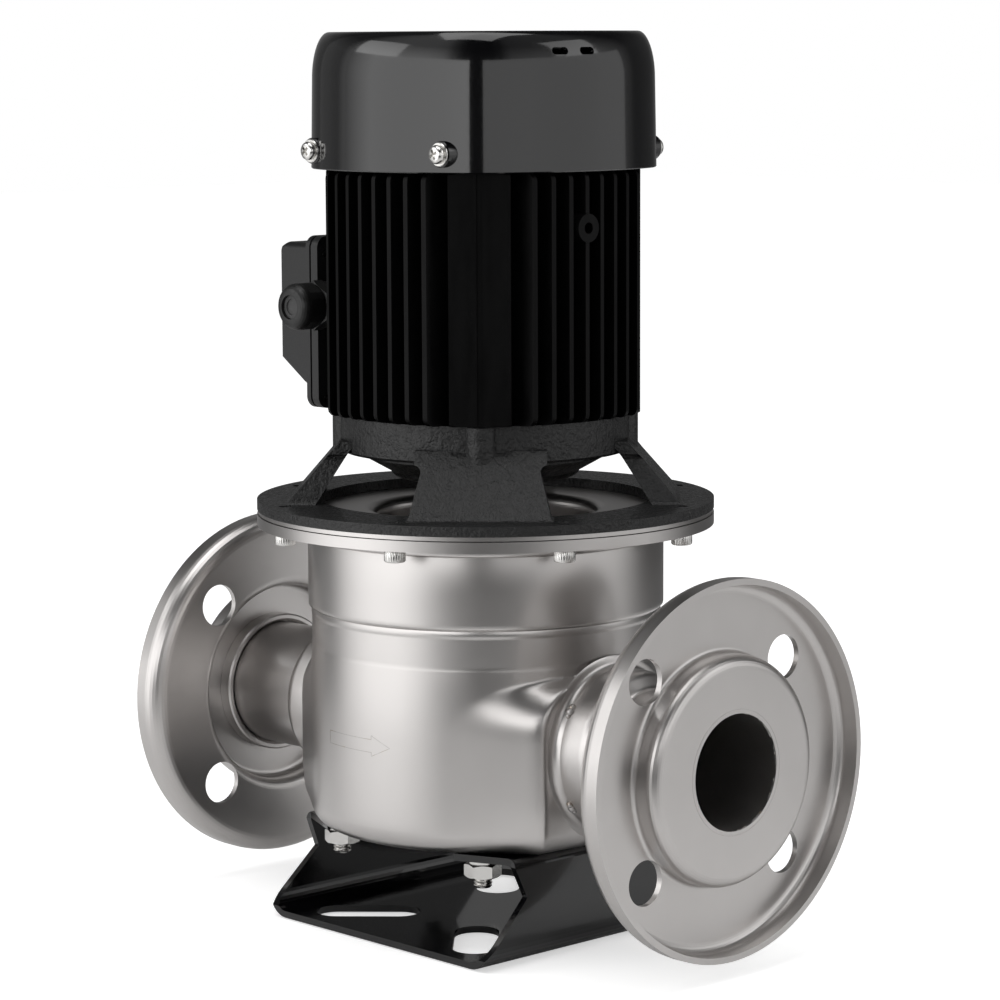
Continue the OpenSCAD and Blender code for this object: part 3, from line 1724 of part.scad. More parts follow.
// Domed clamping nut
module gland_nut() {
    r = gland_af / 2 + 0.6;
    h = gland_l - 7;
    color([0.08, 0.08, 0.08])
        gland_place()
            at_z(7)
                difference() {
                    intersection() {
                        rotate_extrude($fn = 64)
                            polygon(concat([[0, 0], [r, 0], [r, h - 4]], arc([r - 4, h - 4], 4, 0, 90, 6), [[0, h]]));
                        union() {
                            hexagon(gland_af, h);
                            at_z(h - 5)
                                cylinder(r = r, h = 5, $fn = 64);
                        }
                    }
                    at_z(-1)
                        cylinder(d = gland_af - 3.8, h = gland_l - 9.5, $fn = 48);
                    cylinder(d = gland_hole_d, h = h + 1, $fn = 48);
                }
}

module gland_seal() {
    color("gray")
        gland_place()
            at_z(gland_l - 3.6)
                difference() {
                    cylinder(d = gland_hole_d - 0.2, h = 2.2, $fn = 48);
                    at_z(1.5)
                        cylinder(d = gland_hole_d - 3, h = 2, $fn = 48);
                }
}

module suction_neck() {
    color("silver")
        port_neck(-1);
}

module suction_tube() {
    color("silver")
        port_tube(-1);
}

module suction_flange() {
    color("gainsboro")
        port_flange(-1);
}

module suction_collar() {
    color("silver")
        port_collar(-1);
}

module discharge_neck() {
    color("silver")
        port_neck(1);
}

module discharge_tube() {
    color("silver")
        port_tube(1);
}

module discharge_flange() {
    color("gainsboro")
        port_flange(1);
}

module discharge_collar() {
    color("silver")
        port_collar(1);
}

base_plate();
base_studs();
base_nuts();
base_washers();
casing();
casing_ring();
casing_oring();
casing_cover();
ring_screws_set();
inner_casing();
liner_ring();
impeller();
impeller_nut();
impeller_key();
seal_seat();
seal_face();
seal_spring();
seal_holder();
shaft();
shaft_slinger();
suction_neck();
suction_tube();
suction_flange();
suction_collar();
discharge_neck();
discharge_tube();
discharge_flange();
discharge_collar();
motor_bracket();
front_bearing_outer();
front_bearing_inner();
front_bearing_balls();
front_bearing_cage();
rear_bearing_outer();
rear_bearing_inner();
rear_bearing_balls();
rear_bearing_cage();
preload_spring();
motor_frame();
stator_core();
stator_windings();
rotor_core();
rotor_end_rings();
rear_end_shield();
tie_bolts();
cooling_fan();
fan_clip();
fan_cover();
fan_cover_screws();
terminal_base();
terminal_gasket();
terminal_lid();
terminal_lid_screws();
terminal_block();
gland_body();
gland_nut();
gland_seal();
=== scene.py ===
"""Dresses the in-line circulation pump: finishes, pot and hood skins, fasteners, welds and a plain studio."""

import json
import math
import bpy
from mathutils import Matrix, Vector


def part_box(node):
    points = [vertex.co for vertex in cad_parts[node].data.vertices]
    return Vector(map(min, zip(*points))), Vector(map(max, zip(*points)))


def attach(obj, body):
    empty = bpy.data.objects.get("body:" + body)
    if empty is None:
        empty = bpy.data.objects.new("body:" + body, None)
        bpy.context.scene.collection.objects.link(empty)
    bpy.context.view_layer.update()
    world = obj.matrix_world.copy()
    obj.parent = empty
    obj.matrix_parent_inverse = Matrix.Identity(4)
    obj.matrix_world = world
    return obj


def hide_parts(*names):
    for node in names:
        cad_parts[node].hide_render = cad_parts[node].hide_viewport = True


bl_info = {
    "name": "Circulation Pump Dressing",
    "version": (1, 0, 0),
    "blender": (4, 5, 0),
    "location": "View3D > Sidebar > Pump",
    "description": "Finishes, fasteners, weld beads and a plain studio for an in-line circulation pump",
    "category": "Object",
}

import bmesh
import bpy
from mathutils import Matrix, Vector

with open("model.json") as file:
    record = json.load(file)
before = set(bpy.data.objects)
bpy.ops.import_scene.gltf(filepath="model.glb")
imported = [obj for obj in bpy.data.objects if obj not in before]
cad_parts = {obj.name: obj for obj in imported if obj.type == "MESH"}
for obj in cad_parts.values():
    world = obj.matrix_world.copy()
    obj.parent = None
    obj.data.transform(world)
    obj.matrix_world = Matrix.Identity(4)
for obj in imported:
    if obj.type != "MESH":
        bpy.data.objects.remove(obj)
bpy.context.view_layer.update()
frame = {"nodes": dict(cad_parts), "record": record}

MM = 0.001
MOUNTS = {mount["name"]: mount for mount in frame["record"]["mounts"]}
PORT_Z = MOUNTS["discharge_port"]["pos_m"][2]
GASKET_X = MOUNTS["discharge_face"]["pos_m"][0]


def low(node):
    """Lowest corner of a node's box."""
    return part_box(node)[0]


def high(node):
    """Highest corner of a node's box."""
    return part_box(node)[1]


# Sizes and colours a user can change


class PumpSizes(bpy.types.PropertyGroup):
    """Sizes of the pot's and hood's skins, the fasteners and the weld beads."""

    ring_screw_count: bpy.props.IntProperty(
        name="Ring Screws", description="Socket head screws below the pot ring", default=8, min=3
    )
    ring_circle: bpy.props.FloatProperty(
        name="Ring Bolt Circle", description="Radius of the ring's bolt circle",
        default=86.1 * MM, unit="LENGTH",
    )
    ring_head: bpy.props.FloatProperty(
        name="Ring Screw Head", description="Radius of the socket heads", default=4.25 * MM, unit="LENGTH"
    )
    knurls: bpy.props.IntProperty(
        name="Knurls", description="Grooves round each socket head", default=30, min=12
    )
    stud_radius: bpy.props.FloatProperty(
        name="Stud Radius", description="Thread radius of the base studs", default=4 * MM, unit="LENGTH"
    )
    stud_pitch: bpy.props.FloatProperty(
        name="Stud Pitch", description="Thread pitch of the base studs", default=1.25 * MM, unit="LENGTH"
    )
    nut_flats: bpy.props.FloatProperty(
        name="Nut Flats", description="Size of the base nuts across their flats",
        default=13 * MM, unit="LENGTH",
    )
    pot_radius: bpy.props.FloatProperty(
        name="Pot Radius", description="Outer radius of the pot's lower chamber",
        default=72.7 * MM, unit="LENGTH",
    )
    pot_waist: bpy.props.FloatProperty(
        name="Pot Waist", description="Outer radius above the crease", default=71.6 * MM, unit="LENGTH"
    )
    port_corner: bpy.props.FloatProperty(
        name="Port Corner", description="Radius of the upright corners beside the ports",
        default=4 * MM, unit="LENGTH",
    )
    port_half_width: bpy.props.FloatProperty(
        name="Port Half Width", description="Half width of the flat pressed round each port",
        default=40.3 * MM, unit="LENGTH",
    )
    collar_radius: bpy.props.FloatProperty(
        name="Collar Radius", description="Outer radius of the collars drawn out of the pot",
        default=32.6 * MM, unit="LENGTH",
    )
    hood_crown: bpy.props.FloatProperty(
        name="Hood Crown", description="Radius of the hood's bowed sides", default=93 * MM, unit="LENGTH"
    )
    hood_corner_reach: bpy.props.FloatProperty(
        name="Hood Corner Reach", description="From the motor axis to the hood's corners",
        default=69.9 * MM, unit="LENGTH",
    )
    hood_wall: bpy.props.FloatProperty(
        name="Hood Wall", description="Thickness of the hood's sheet", default=2 * MM, unit="LENGTH"
    )
    grille_rings: bpy.props.IntProperty(
        name="Grille Rings", description="Rings of air slots in the hood's top", default=6, min=1, max=6
    )
    grille_slot: bpy.props.FloatProperty(
        name="Grille Slot", description="Width of an air slot", default=3.4 * MM, unit="LENGTH"
    )
    grille_bar: bpy.props.FloatProperty(
        name="Grille Bar", description="Width of the bars across the slots", default=4 * MM, unit="LENGTH"
    )
    bead_width: bpy.props.FloatProperty(
        name="Weld Bead", description="Width of the weld beads", default=2.6 * MM, unit="LENGTH"
    )
    bead_seed: bpy.props.IntProperty(
        name="Bead Seed", description="Seed of the weld ripples", default=7
    )


class PumpColours(bpy.types.PropertyGroup):
    """Colours of the main finishes."""

    steel: bpy.props.FloatVectorProperty(
        name="Stainless", description="Pot, necks and flanges", subtype="COLOR", size=4,
        default=(0.588, 0.568, 0.556, 1.0),
    )
    bright: bpy.props.FloatVectorProperty(
        name="Fasteners", description="Screws, nuts and washers", subtype="COLOR", size=4,
        default=(0.72, 0.71, 0.69, 1.0),
    )
    gloss_black: bpy.props.FloatVectorProperty(
        name="Gloss Black", description="Hood and base", subtype="COLOR", size=4,
        default=(0.002, 0.002, 0.0025, 1.0),
    )
    casting_black: bpy.props.FloatVectorProperty(
        name="Casting Black", description="Bracket and motor frame", subtype="COLOR", size=4,
        default=(0.0028, 0.0028, 0.003, 1.0),
    )


# Finishes


class Finish:
    """One material: a Principled shader and the nodes that feed it."""

    def __init__(self, name, colour, metallic=0.0, roughness=0.5, coat=0.0):
        self.material = bpy.data.materials.new(name)
        self.material.use_nodes = True
        self.material.diffuse_color = colour
        self.tree = self.material.node_tree
        self.shader = self.tree.nodes["Principled BSDF"]
        fill_inputs(self.tree, self.shader, {
            "Base Color": colour, "Metallic": metallic, "Roughness": roughness,
            "Coat Weight": coat, "Coat Roughness": 0.04,
        })
        self.place = self.tree.nodes.new("ShaderNodeTexCoord").outputs["Object"]
        self.height = None

    def link(self, source, target):
        self.tree.links.new(source, target)

    def noise(self, size, detail=3.0, stretch=(1, 1, 1), warp=0.0):
        """Noise whose features are about this size in metres, drawn out along the axes of a low stretch."""
        mapping = add_node(self.tree, "ShaderNodeMapping", {"Scale": stretch, "Vector": self.place})
        noise = {"Scale": 1 / size, "Detail": detail, "Distortion": warp, "Vector": mapping}
        return add_node(self.tree, "ShaderNodeTexNoise", noise).outputs["Fac"]

    def rings(self, spacing, axis="X", centre=(0, 0, 0), warp=2.0):
        """Fine turning marks: rings round an axis through centre."""
        middle = [-c for c in centre]
        mapping = add_node(self.tree, "ShaderNodeMapping", {"Location": middle, "Vector": self.place})
        wave = {"Scale": 0.314 / spacing, "Distortion": warp, "Detail": 3.0, "Detail Scale": 1.5}
        node = add_node(self.tree, "ShaderNodeTexWave", wave, wave_type="RINGS", rings_direction=axis)
        fill_inputs(self.tree, node, {"Vector": mapping})
        return node.outputs["Fac"]

    def level(self, value, darkest, brightest, start=0.35, end=0.65):
        """Maps a pattern to a range of numbers."""
        return add_node(self.tree, "ShaderNodeMapRange", {
            "From Min": start, "From Max": end, "To Min": darkest, "To Max": brightest, "Value": value,
        }).outputs["Result"]

    def colours(self, value, *stops):
        """Maps a pattern to colours; each stop is (place, colour)."""
        ramp = add_node(self.tree, "ShaderNodeValToRGB", {"Fac": value})
        fill_ramp(ramp, stops)
        self.link(ramp.outputs["Color"], self.shader.inputs["Base Color"])

    def mottle(self, value, amount, spread=0.2):
        """Lightens and darkens the base colour by up to this share, over this spread of the pattern."""
        base = list(self.shader.inputs["Base Color"].default_value)[:3]
        dark = [c * (1 - amount) for c in base] + [1]
        pale = [min(1, c * (1 + amount)) for c in base] + [1]
        self.colours(value, (0.5 - spread, dark), (0.5 + spread, pale))

    def rough(self, value, smoothest, roughest, start=0.35, end=0.65):
        """Maps a pattern to the roughness."""
        self.link(self.level(value, smoothest, roughest, start, end), self.shader.inputs["Roughness"])

    def bump(self, value, depth, strength=1.0):
        """Adds relief of this depth in metres; later calls lie on top of earlier ones."""
        relief = {"Strength": strength, "Distance": depth, "Height": value}
        node = add_node(self.tree, "ShaderNodeBump", relief)
        if self.height:
            self.link(self.height, node.inputs["Normal"])
        self.height = node.outputs["Normal"]
        self.link(self.height, self.shader.inputs["Normal"])


def shade(colour, share):
    """A lighter or darker version of a colour."""
    return [min(1, c * share) for c in colour[:3]] + [1]


def spun_steel(name, colour):
    """Satin stainless sheet: smooth, with a faint cloud in its colour and polish."""
    finish = Finish(name, colour, metallic=1.0, roughness=0.28)
    cloud = finish.noise(0.04, detail=2)
    finish.mottle(cloud, 0.06, 0.5)
    finish.rough(cloud, 0.28, 0.32, 0.0, 1.0)
    return finish.material


def turned_steel(name, colour):
    """Satin stainless pressing with faint turning marks round the port axis."""
    finish = Finish(name, colour, metallic=1.0, roughness=0.3)
    marks = finish.rings(0.0016, "X", (0, 0, PORT_Z), warp=0.3)
    cloud = finish.noise(0.03, detail=2)
    finish.mottle(cloud, 0.07, 0.5)
    finish.rough(cloud, 0.28, 0.36, 0.0, 1.0)
    finish.bump(marks, 0.000004, 0.25)
    return finish.material


def weld_metal(name, colour):
    """Weld bead: bright ripples with a straw and brown tint."""
    finish = Finish(name, colour, metallic=1.0, roughness=0.34)
    tint = finish.noise(0.004, detail=4, warp=0.5)
    finish.colours(
        tint,
        (0.3, (0.34, 0.27, 0.2, 1)),
        (0.5, shade(colour, 0.72)),
        (0.75, shade(colour, 0.95)),
    )
    finish.rough(tint, 0.28, 0.5)
    finish.bump(finish.noise(0.0012, detail=4), 0.0001, 0.8)
    return finish.material


def bright_plate(name, colour):
    """Zinc or bright stainless fasteners with faint scuffs."""
    finish = Finish(name, colour, metallic=1.0, roughness=0.22)
    scuff = finish.noise(0.0016, detail=5, warp=0.4)
    finish.mottle(scuff, 0.1)
    finish.rough(scuff, 0.16, 0.26)
    finish.bump(scuff, 0.00002, 0.4)
    return finish.material


def gloss_paint(name, colour):
    """Gloss black powder coat with a slight orange peel."""
    finish = Finish(name, colour, roughness=0.12, coat=0.4)
    peel = finish.noise(0.004, detail=2)
    dust = finish.noise(0.0012, detail=4, warp=0.3)
    finish.mottle(dust, 0.1)
    finish.rough(dust, 0.08, 0.14)
    finish.bump(peel, 0.00002, 0.2)
    return finish.material


def satin_paint(name, colour):
    """Satin black paint on extruded or cast aluminium."""
    finish = Finish(name, shade(colour, 0.5), roughness=0.5)
    finish.shader.inputs["Specular IOR Level"].default_value = 0.1
    streak = finish.noise(0.004, detail=4, stretch=(1, 1, 0.15))
    grit = finish.noise(0.0007, detail=3)
    finish.mottle(streak, 0.2)
    finish.rough(streak, 0.36, 0.5)
    finish.bump(grit, 0.00003, 0.4)
    return finish.material


def sand_casting(name, colour):
    """Rough sand casting under black paint."""
    finish = Finish(name, colour, roughness=0.45, coat=0.1)
    lumps = finish.noise(0.0034, detail=6, warp=0.2)
    grit = finish.noise(0.0011, detail=4)
    finish.mottle(grit, 0.6)
    finish.rough(grit, 0.3, 0.55)
    finish.bump(lumps, 0.001, 1.0)
    finish.bump(grit, 0.0006, 1.0)
    return finish.material


def moulded_plastic(name, colour, texture=0.00004):
    """Moulded plastic with a fine spark texture."""
    finish = Finish(name, colour, roughness=0.42)
    grit = finish.noise(0.0006, detail=3)
    cloud = finish.noise(0.012, detail=3)
    finish.mottle(cloud, 0.15)
    finish.rough(grit, 0.34, 0.5)
    finish.bump(grit, texture, 0.5)
    return finish.material


def soft_rubber(name, colour):
    """Dull rubber with a faint bloom."""
    finish = Finish(name, colour, roughness=0.75)
    bloom = finish.noise(0.006, detail=4)
    finish.mottle(bloom, 0.25)
    finish.rough(bloom, 0.65, 0.85)
    finish.bump(finish.noise(0.0008, detail=2), 0.00004, 0.5)
    return finish.material


def machined(name, colour, roughness=0.25, metallic=1.0):
    """Machined or ground metal with marks round the motor axis."""
    finish = Finish(name, colour, metallic=metallic, roughness=roughness)
    marks = finish.rings(0.0004, "Z", warp=0.6)
    cloud = finish.noise(0.008, detail=3)
    finish.mottle(cloud, 0.08)
    finish.rough(marks, roughness * 0.75, roughness * 1.3)
    finish.bump(marks, 0.000008, 0.4)
    return finish.material


def stacked_sheet(name, colour):
    """Stack of thin motor sheets seen on edge."""
    finish = Finish(name, colour, metallic=0.8, roughness=0.45)
    layers = finish.noise(0.0005, detail=1, stretch=(0.02, 0.02, 1.0))
    finish.mottle(layers, 0.3)
    finish.rough(layers, 0.35, 0.6)
    finish.bump(layers, 0.00004, 0.7)
    return finish.material


def wound_wire(name, colour):
    """Varnished copper windings tied in rounds."""
    finish = Finish(name, colour, metallic=0.6, roughness=0.3, coat=0.5)
    wire = finish.rings(0.0008, "Z", warp=1.5)
    tone = finish.noise(0.004, detail=4)
    finish.mottle(tone, 0.35)
    finish.rough(tone, 0.2, 0.45)
    finish.bump(wire, 0.0003, 0.8)
    return finish.material


def glazed(name, colour):
    """Polished ceramic with faint specks."""
    finish = Finish(name, colour, roughness=0.12, coat=0.3)
    specks = finish.noise(0.0015, detail=5)
    finish.mottle(specks, 0.05)
    finish.rough(specks, 0.08, 0.18)
    finish.bump(specks, 0.000005, 0.3)
    return finish.material


SLOT_FINISHES = {
    "black_sheet": lambda c: gloss_paint("gloss black sheet", c.gloss_black),
    "bright_steel": lambda c: bright_plate("bright fasteners", c.bright),
    "stainless": lambda c: turned_steel("satin stainless pressing", c.steel),
    "rubber": lambda c: soft_rubber("black rubber", (0.012, 0.012, 0.012, 1)),
    "bronze": lambda c: machined("turned bronze", (0.55, 0.36, 0.18, 1)),
    "ceramic": lambda c: glazed("seal ceramic", (0.8, 0.79, 0.75, 1)),
    "carbon": lambda c: machined("seal carbon", (0.03, 0.03, 0.032, 1), 0.35, 0.2),
    "shaft_steel": lambda c: machined("ground shaft steel", (0.55, 0.55, 0.55, 1), 0.2),
    "black_casting": lambda c: sand_casting("black sand casting", c.casting_black),
    "bearing_steel": lambda c: machined("bearing steel", (0.7, 0.7, 0.71, 1), 0.12),
    "cage_steel": lambda c: machined("pressed cage steel", (0.5, 0.47, 0.4, 1), 0.3),
    "black_aluminium": lambda c: satin_paint("satin black motor frame", c.casting_black),
    "core_steel": lambda c: stacked_sheet("motor core sheets", (0.17, 0.17, 0.18, 1)),
    "winding_copper": lambda c: wound_wire("varnished windings", (0.42, 0.15, 0.05, 1)),
    "cast_aluminium": lambda c: machined("cast aluminium", (0.5, 0.5, 0.5, 1), 0.42),
    "fan_plastic": lambda c: moulded_plastic("fan plastic", (0.02, 0.02, 0.02, 1)),
    "box_black": lambda c: moulded_plastic("terminal box plastic", (0.005, 0.005, 0.0055, 1)),
    "block_plastic": lambda c: moulded_plastic("terminal block plastic", (0.2, 0.08, 0.03, 1)),
    "gland_plastic": lambda c: moulded_plastic("gland plastic", (0.005, 0.005, 0.005, 1), 0.00002),
    "grey_rubber": lambda c: soft_rubber("grey gland rubber", (0.08, 0.08, 0.08, 1)),
}
POT_NODES = ("casing", "casing_ring", "casing_cover")


def finish_named(name):
    """The material that the finishes operator made under this name."""
    return bpy.data.materials[name]


class PUMP_OT_finishes(bpy.types.Operator):
    """Gives every node of the pump its finish"""

    bl_idname = "pump.finishes"
    bl_label = "Finishes"

    def execute(self, context):
        colours = context.scene.pump_colours
        made = {slot: make(colours) for slot, make in SLOT_FINISHES.items()}
        pot = spun_steel("satin stainless pot", colours.steel)
        weld_metal("weld bead", colours.steel)
        for part in frame["record"]["subparts"]:
            node = frame["nodes"][part["node"]]
            node.data.materials.clear()
            steel_pot = part["node"] in POT_NODES
            node.data.materials.append(pot if steel_pot else made[part["material_slot"]])
        return {"FINISHED"}


# Mesh and node tools


def add_piece(name, mesh, material, body, replaced=(), smooth_angle=35):
    """Puts a finished mesh in the scene as a piece that rides on a body."""
    piece = bpy.data.objects.new(name, mesh)
    bpy.context.scene.collection.objects.link(piece)
    mesh.materials.clear()
    mesh.materials.append(finish_named(material))
    mesh.shade_smooth()
    mesh.set_sharp_from_angle(angle=math.radians(smooth_angle))
    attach(piece, body)
    if replaced:
        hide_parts(*replaced)


def level_ring(bm, reaches, height):
    """A ring of vertices round the Z axis, at these distances from it."""
    ring = []
    for i, reach in enumerate(reaches):
        angle = math.tau * i / len(reaches)
        ring.append(bm.verts.new((reach * math.cos(angle), reach * math.sin(angle), height)))
    return ring


def level_circle(bm, radius, height, steps):
    """A round ring of vertices round the Z axis."""
    return level_ring(bm, [radius] * steps, height)


def circle_facing(bm, radius, across, height, steps, place):
    """A ring of vertices round a level axis; place turns (across, height) pairs into a position."""
    angles = [math.tau * i / steps for i in range(steps)]
    return [bm.verts.new(place(across + radius * math.cos(a), height + radius * math.sin(a))) for a in angles]


def port_circle(bm, radius, x, steps):
    """A ring of vertices round the ports' axis at a distance along it."""
    return circle_facing(bm, radius, 0, PORT_Z, steps, lambda y, z: (x, y, z))


def join_rings(bm, lower, upper):
    """Quads between two rings, or a fan where one of them is a single point."""
    count = max(len(lower), len(upper))
    for i in range(count):
        j = (i + 1) % count
        if len(lower) == 1:
            bm.faces.new((lower[0], upper[j], upper[i]))
        elif len(upper) == 1:
            bm.faces.new((lower[i], lower[j], upper[0]))
        else:
            bm.faces.new((lower[i], lower[j], upper[j], upper[i]))


def mesh_of(name, bm):
    """Ends a bmesh: outward normals, then a mesh."""
    bmesh.ops.recalc_face_normals(bm, faces=bm.faces)
    mesh = bpy.data.meshes.new(name)
    bm.to_mesh(mesh)
    bm.free()
    return mesh


def fill_inputs(tree, node, inputs):
    """Gives a node's inputs their values; a socket is linked, and a bare node is its first output."""
    for key, value in inputs.items():
        if isinstance(value, bpy.types.Node):
            value = value.outputs[0]
        if isinstance(value, bpy.types.NodeSocket):
            tree.links.new(value, node.inputs[key])
        else:
            node.inputs[key].default_value = value


def add_node(tree, kind, inputs=None, **settings):
    """Adds a node with these inputs and settings."""
    node = tree.nodes.new(kind)
    for name, value in settings.items():
        setattr(node, name, value)
    fill_inputs(tree, node, inputs or {})
    return node


def fill_ramp(node, stops):
    """Sets the stops of a colour ramp; each is (place, colour)."""
    elements = node.color_ramp.elements
    for index in (0, -1):
        elements[index].position, elements[index].color = stops[index]
    for place, colour in stops[1:-1]:
        elements.new(place).color = colour


def tree_with_inputs(name, inputs):
    """A Geometry Nodes tree with a geometry in and out and the named inputs."""
    tree = bpy.data.node_groups.new(name, "GeometryNodeTree")
    tree.interface.new_socket("Geometry", in_out="INPUT", socket_type="NodeSocketGeometry")
    tree.interface.new_socket("Geometry", in_out="OUTPUT", socket_type="NodeSocketGeometry")
    for label, kind, value in inputs:
        socket = tree.interface.new_socket(label, in_out="INPUT", socket_type="NodeSocket" + kind)
        socket.default_value = value
    return tree


def finish_tree(tree, geometry, material):
    """Ends a tree with Realize Instances and Set Material."""
    realize = add_node(tree, "GeometryNodeRealizeInstances", {"Geometry": geometry})
    painted = {"Material": finish_named(material), "Geometry": realize}
    add_node(tree, "NodeGroupOutput", {"Geometry": add_node(tree, "GeometryNodeSetMaterial", painted)})


def random_turn(tree, seed):
    """A turn about Z that differs from copy to copy."""
    random = add_node(tree, "FunctionNodeRandomValue", {"Max": math.tau, "Seed": seed}, data_type="FLOAT")
    return add_node(tree, "ShaderNodeCombineXYZ", {"Z": random.outputs[1]})


def ring_of_copies(name, material):
    """Copies a fastener round the motor axis."""
    tree = tree_with_inputs(name, [
        ("Count", "Int", 8),
        ("Radius", "Float", 0.08),
        ("Height", "Float", 0.0),
        ("Turn", "Float", 0.0),
        ("Seed", "Int", 1),
    ])
    source = add_node(tree, "NodeGroupInput").outputs
    around = {"Vertices": source["Count"], "Radius": source["Radius"]}
    points = add_node(tree, "GeometryNodeMeshCircle", around)
    lift = add_node(tree, "ShaderNodeCombineXYZ", {"Z": source["Height"]})
    spin = add_node(tree, "ShaderNodeCombineXYZ", {"Z": source["Turn"]})
    move = add_node(tree, "GeometryNodeTransform", {
        "Geometry": points, "Translation": lift, "Rotation": spin,
    })
    place = add_node(tree, "GeometryNodeInstanceOnPoints", {
        "Points": move, "Instance": source["Geometry"], "Rotation": random_turn(tree, source["Seed"]),
    })
    finish_tree(tree, place, material)
    return tree


def grid_of_copies(name, material, facing_out):
    """Copies a fastener to four corners; facing_out turns each one's +Z along Y, away from the middle."""
    tree = tree_with_inputs(name, [
        ("Width", "Float", 0.08),
        ("Depth", "Float", 0.08),
        ("Height", "Float", 0.0),
        ("Seed", "Int", 1),
    ])
    source = add_node(tree, "NodeGroupInput").outputs
    corners = add_node(tree, "GeometryNodeMeshGrid", {
        "Vertices X": 2, "Vertices Y": 2, "Size X": source["Width"], "Size Y": source["Depth"],
    })
    lift = add_node(tree, "ShaderNodeCombineXYZ", {"Z": source["Height"]})
    move = add_node(tree, "GeometryNodeTransform", {"Geometry": corners, "Translation": lift})
    turn = random_turn(tree, source["Seed"])
    if facing_out:
        position = add_node(tree, "GeometryNodeInputPosition")
        split = add_node(tree, "ShaderNodeSeparateXYZ", {"Vector": position})
        sign = add_node(tree, "ShaderNodeMath", {0: split.outputs["Y"]}, operation="SIGN")
        outward = add_node(tree, "ShaderNodeCombineXYZ", {"Y": sign})
        aim = {"Rotation": turn, "Vector": outward}
        turn = add_node(tree, "FunctionNodeAlignRotationToVector", aim, axis="Z")
    place = add_node(tree, "GeometryNodeInstanceOnPoints", {
        "Points": move, "Instance": source["Geometry"], "Rotation": turn,
    })
    finish_tree(tree, place, material)
    return tree


def bead_ring(name, material):
    """A weld bead: overlapping ripples round a circle, then turned and placed."""
    tree = tree_with_inputs(name, [
        ("Count", "Int", 120),
        ("Radius", "Float", 0.03),
        ("Width", "Float", 0.0026),
        ("Squash", "Float", 0.55),
        ("Turn", "Vector", (0, 0, 0)),
        ("Place", "Vector", (0, 0, 0)),
        ("Seed", "Int", 7),
    ])
    source = add_node(tree, "NodeGroupInput").outputs
    around = {"Vertices": source["Count"], "Radius": source["Radius"]}
    points = add_node(tree, "GeometryNodeMeshCircle", around)
    half = add_node(tree, "ShaderNodeMath", {0: source["Width"], 1: 0.5}, operation="MULTIPLY")
    ripple = add_node(tree, "GeometryNodeMeshUVSphere", {"Segments": 10, "Rings": 6, "Radius": half})
    spread = {2: 0.82, 3: 1.08, "Seed": source["Seed"]}
    size = add_node(tree, "FunctionNodeRandomValue", spread, data_type="FLOAT").outputs[1]
    flat = add_node(tree, "ShaderNodeMath", {0: size, 1: source["Squash"]}, operation="MULTIPLY")
    scale = add_node(tree, "ShaderNodeCombineXYZ", {"X": size, "Y": size, "Z": flat})
    place = add_node(tree, "GeometryNodeInstanceOnPoints", {
        "Points": points, "Instance": ripple, "Scale": scale,
    })
    move = add_node(tree, "GeometryNodeTransform", {
        "Geometry": place, "Translation": source["Place"], "Rotation": source["Turn"],
    })
    finish_tree(tree, move, material)
    return tree


def grown(name, mesh, tree, **values):
    """Runs a tree on a mesh and returns the plain mesh it makes."""
    holder = bpy.data.objects.new(name, mesh)
    bpy.context.scene.collection.objects.link(holder)
    modifier = holder.modifiers.new("Copies", "NODES")
    modifier.node_group = tree
    for item in tree.interface.items_tree:
        if item.item_type == "SOCKET" and item.in_out == "INPUT" and item.name in values:
            modifier[item.identifier] = values[item.name]
    evaluated = holder.evaluated_get(bpy.context.evaluated_depsgraph_get())
    made = bpy.data.meshes.new_from_object(evaluated)
    made.name = name
    bpy.data.objects.remove(holder)
    return made


# Fasteners, pot and hood


def side_angle(bearing, span):
    """Radians from a bearing to the middle of its side, on a shape with a side every span of degrees."""
    return math.radians((bearing + span / 2) % span - span / 2)


def socket_screw(head_radius, head_height, knurls, shank):
    """Socket head screw, head down: knurled side, chamfered rim and recess below z 0, shank above."""
    bm = bmesh.new()
    steps = knurls * 4
    deep = head_radius * 0.965
    outline = [head_radius if i % 4 in (0, 1) else deep for i in range(steps)]

    def hexagon(height, flats):
        reaches = [flats / math.cos(side_angle(i * 360 / steps, 60)) for i in range(steps)]
        return level_ring(bm, reaches, height)

    flats = head_radius * 0.47
    thread = head_radius * 0.55
    chamfer = 0.4 * MM
    rows = [
        [bm.verts.new((0, 0, shank))],
        level_circle(bm, thread - chamfer, shank, steps),
        level_circle(bm, thread, shank - chamfer, steps),
        level_circle(bm, thread, 0, steps),
        level_circle(bm, deep * 0.97, 0, steps),
        level_ring(bm, outline, -0.3 * MM),
        level_ring(bm, outline, -head_height + 0.6 * MM),
        level_circle(bm, deep * 0.985, -head_height + 0.25 * MM, steps),
        level_circle(bm, deep * 0.91, -head_height, steps),
        hexagon(-head_height, flats * 1.05),
        hexagon(-head_height + 0.2 * MM, flats),
        hexagon(-head_height * 0.45, flats),
        [bm.verts.new((0, 0, -head_height * 0.4))],
    ]
    for lower, upper in zip(rows, rows[1:]):
        join_rings(bm, lower, upper)
    return mesh_of("socket screw", bm)


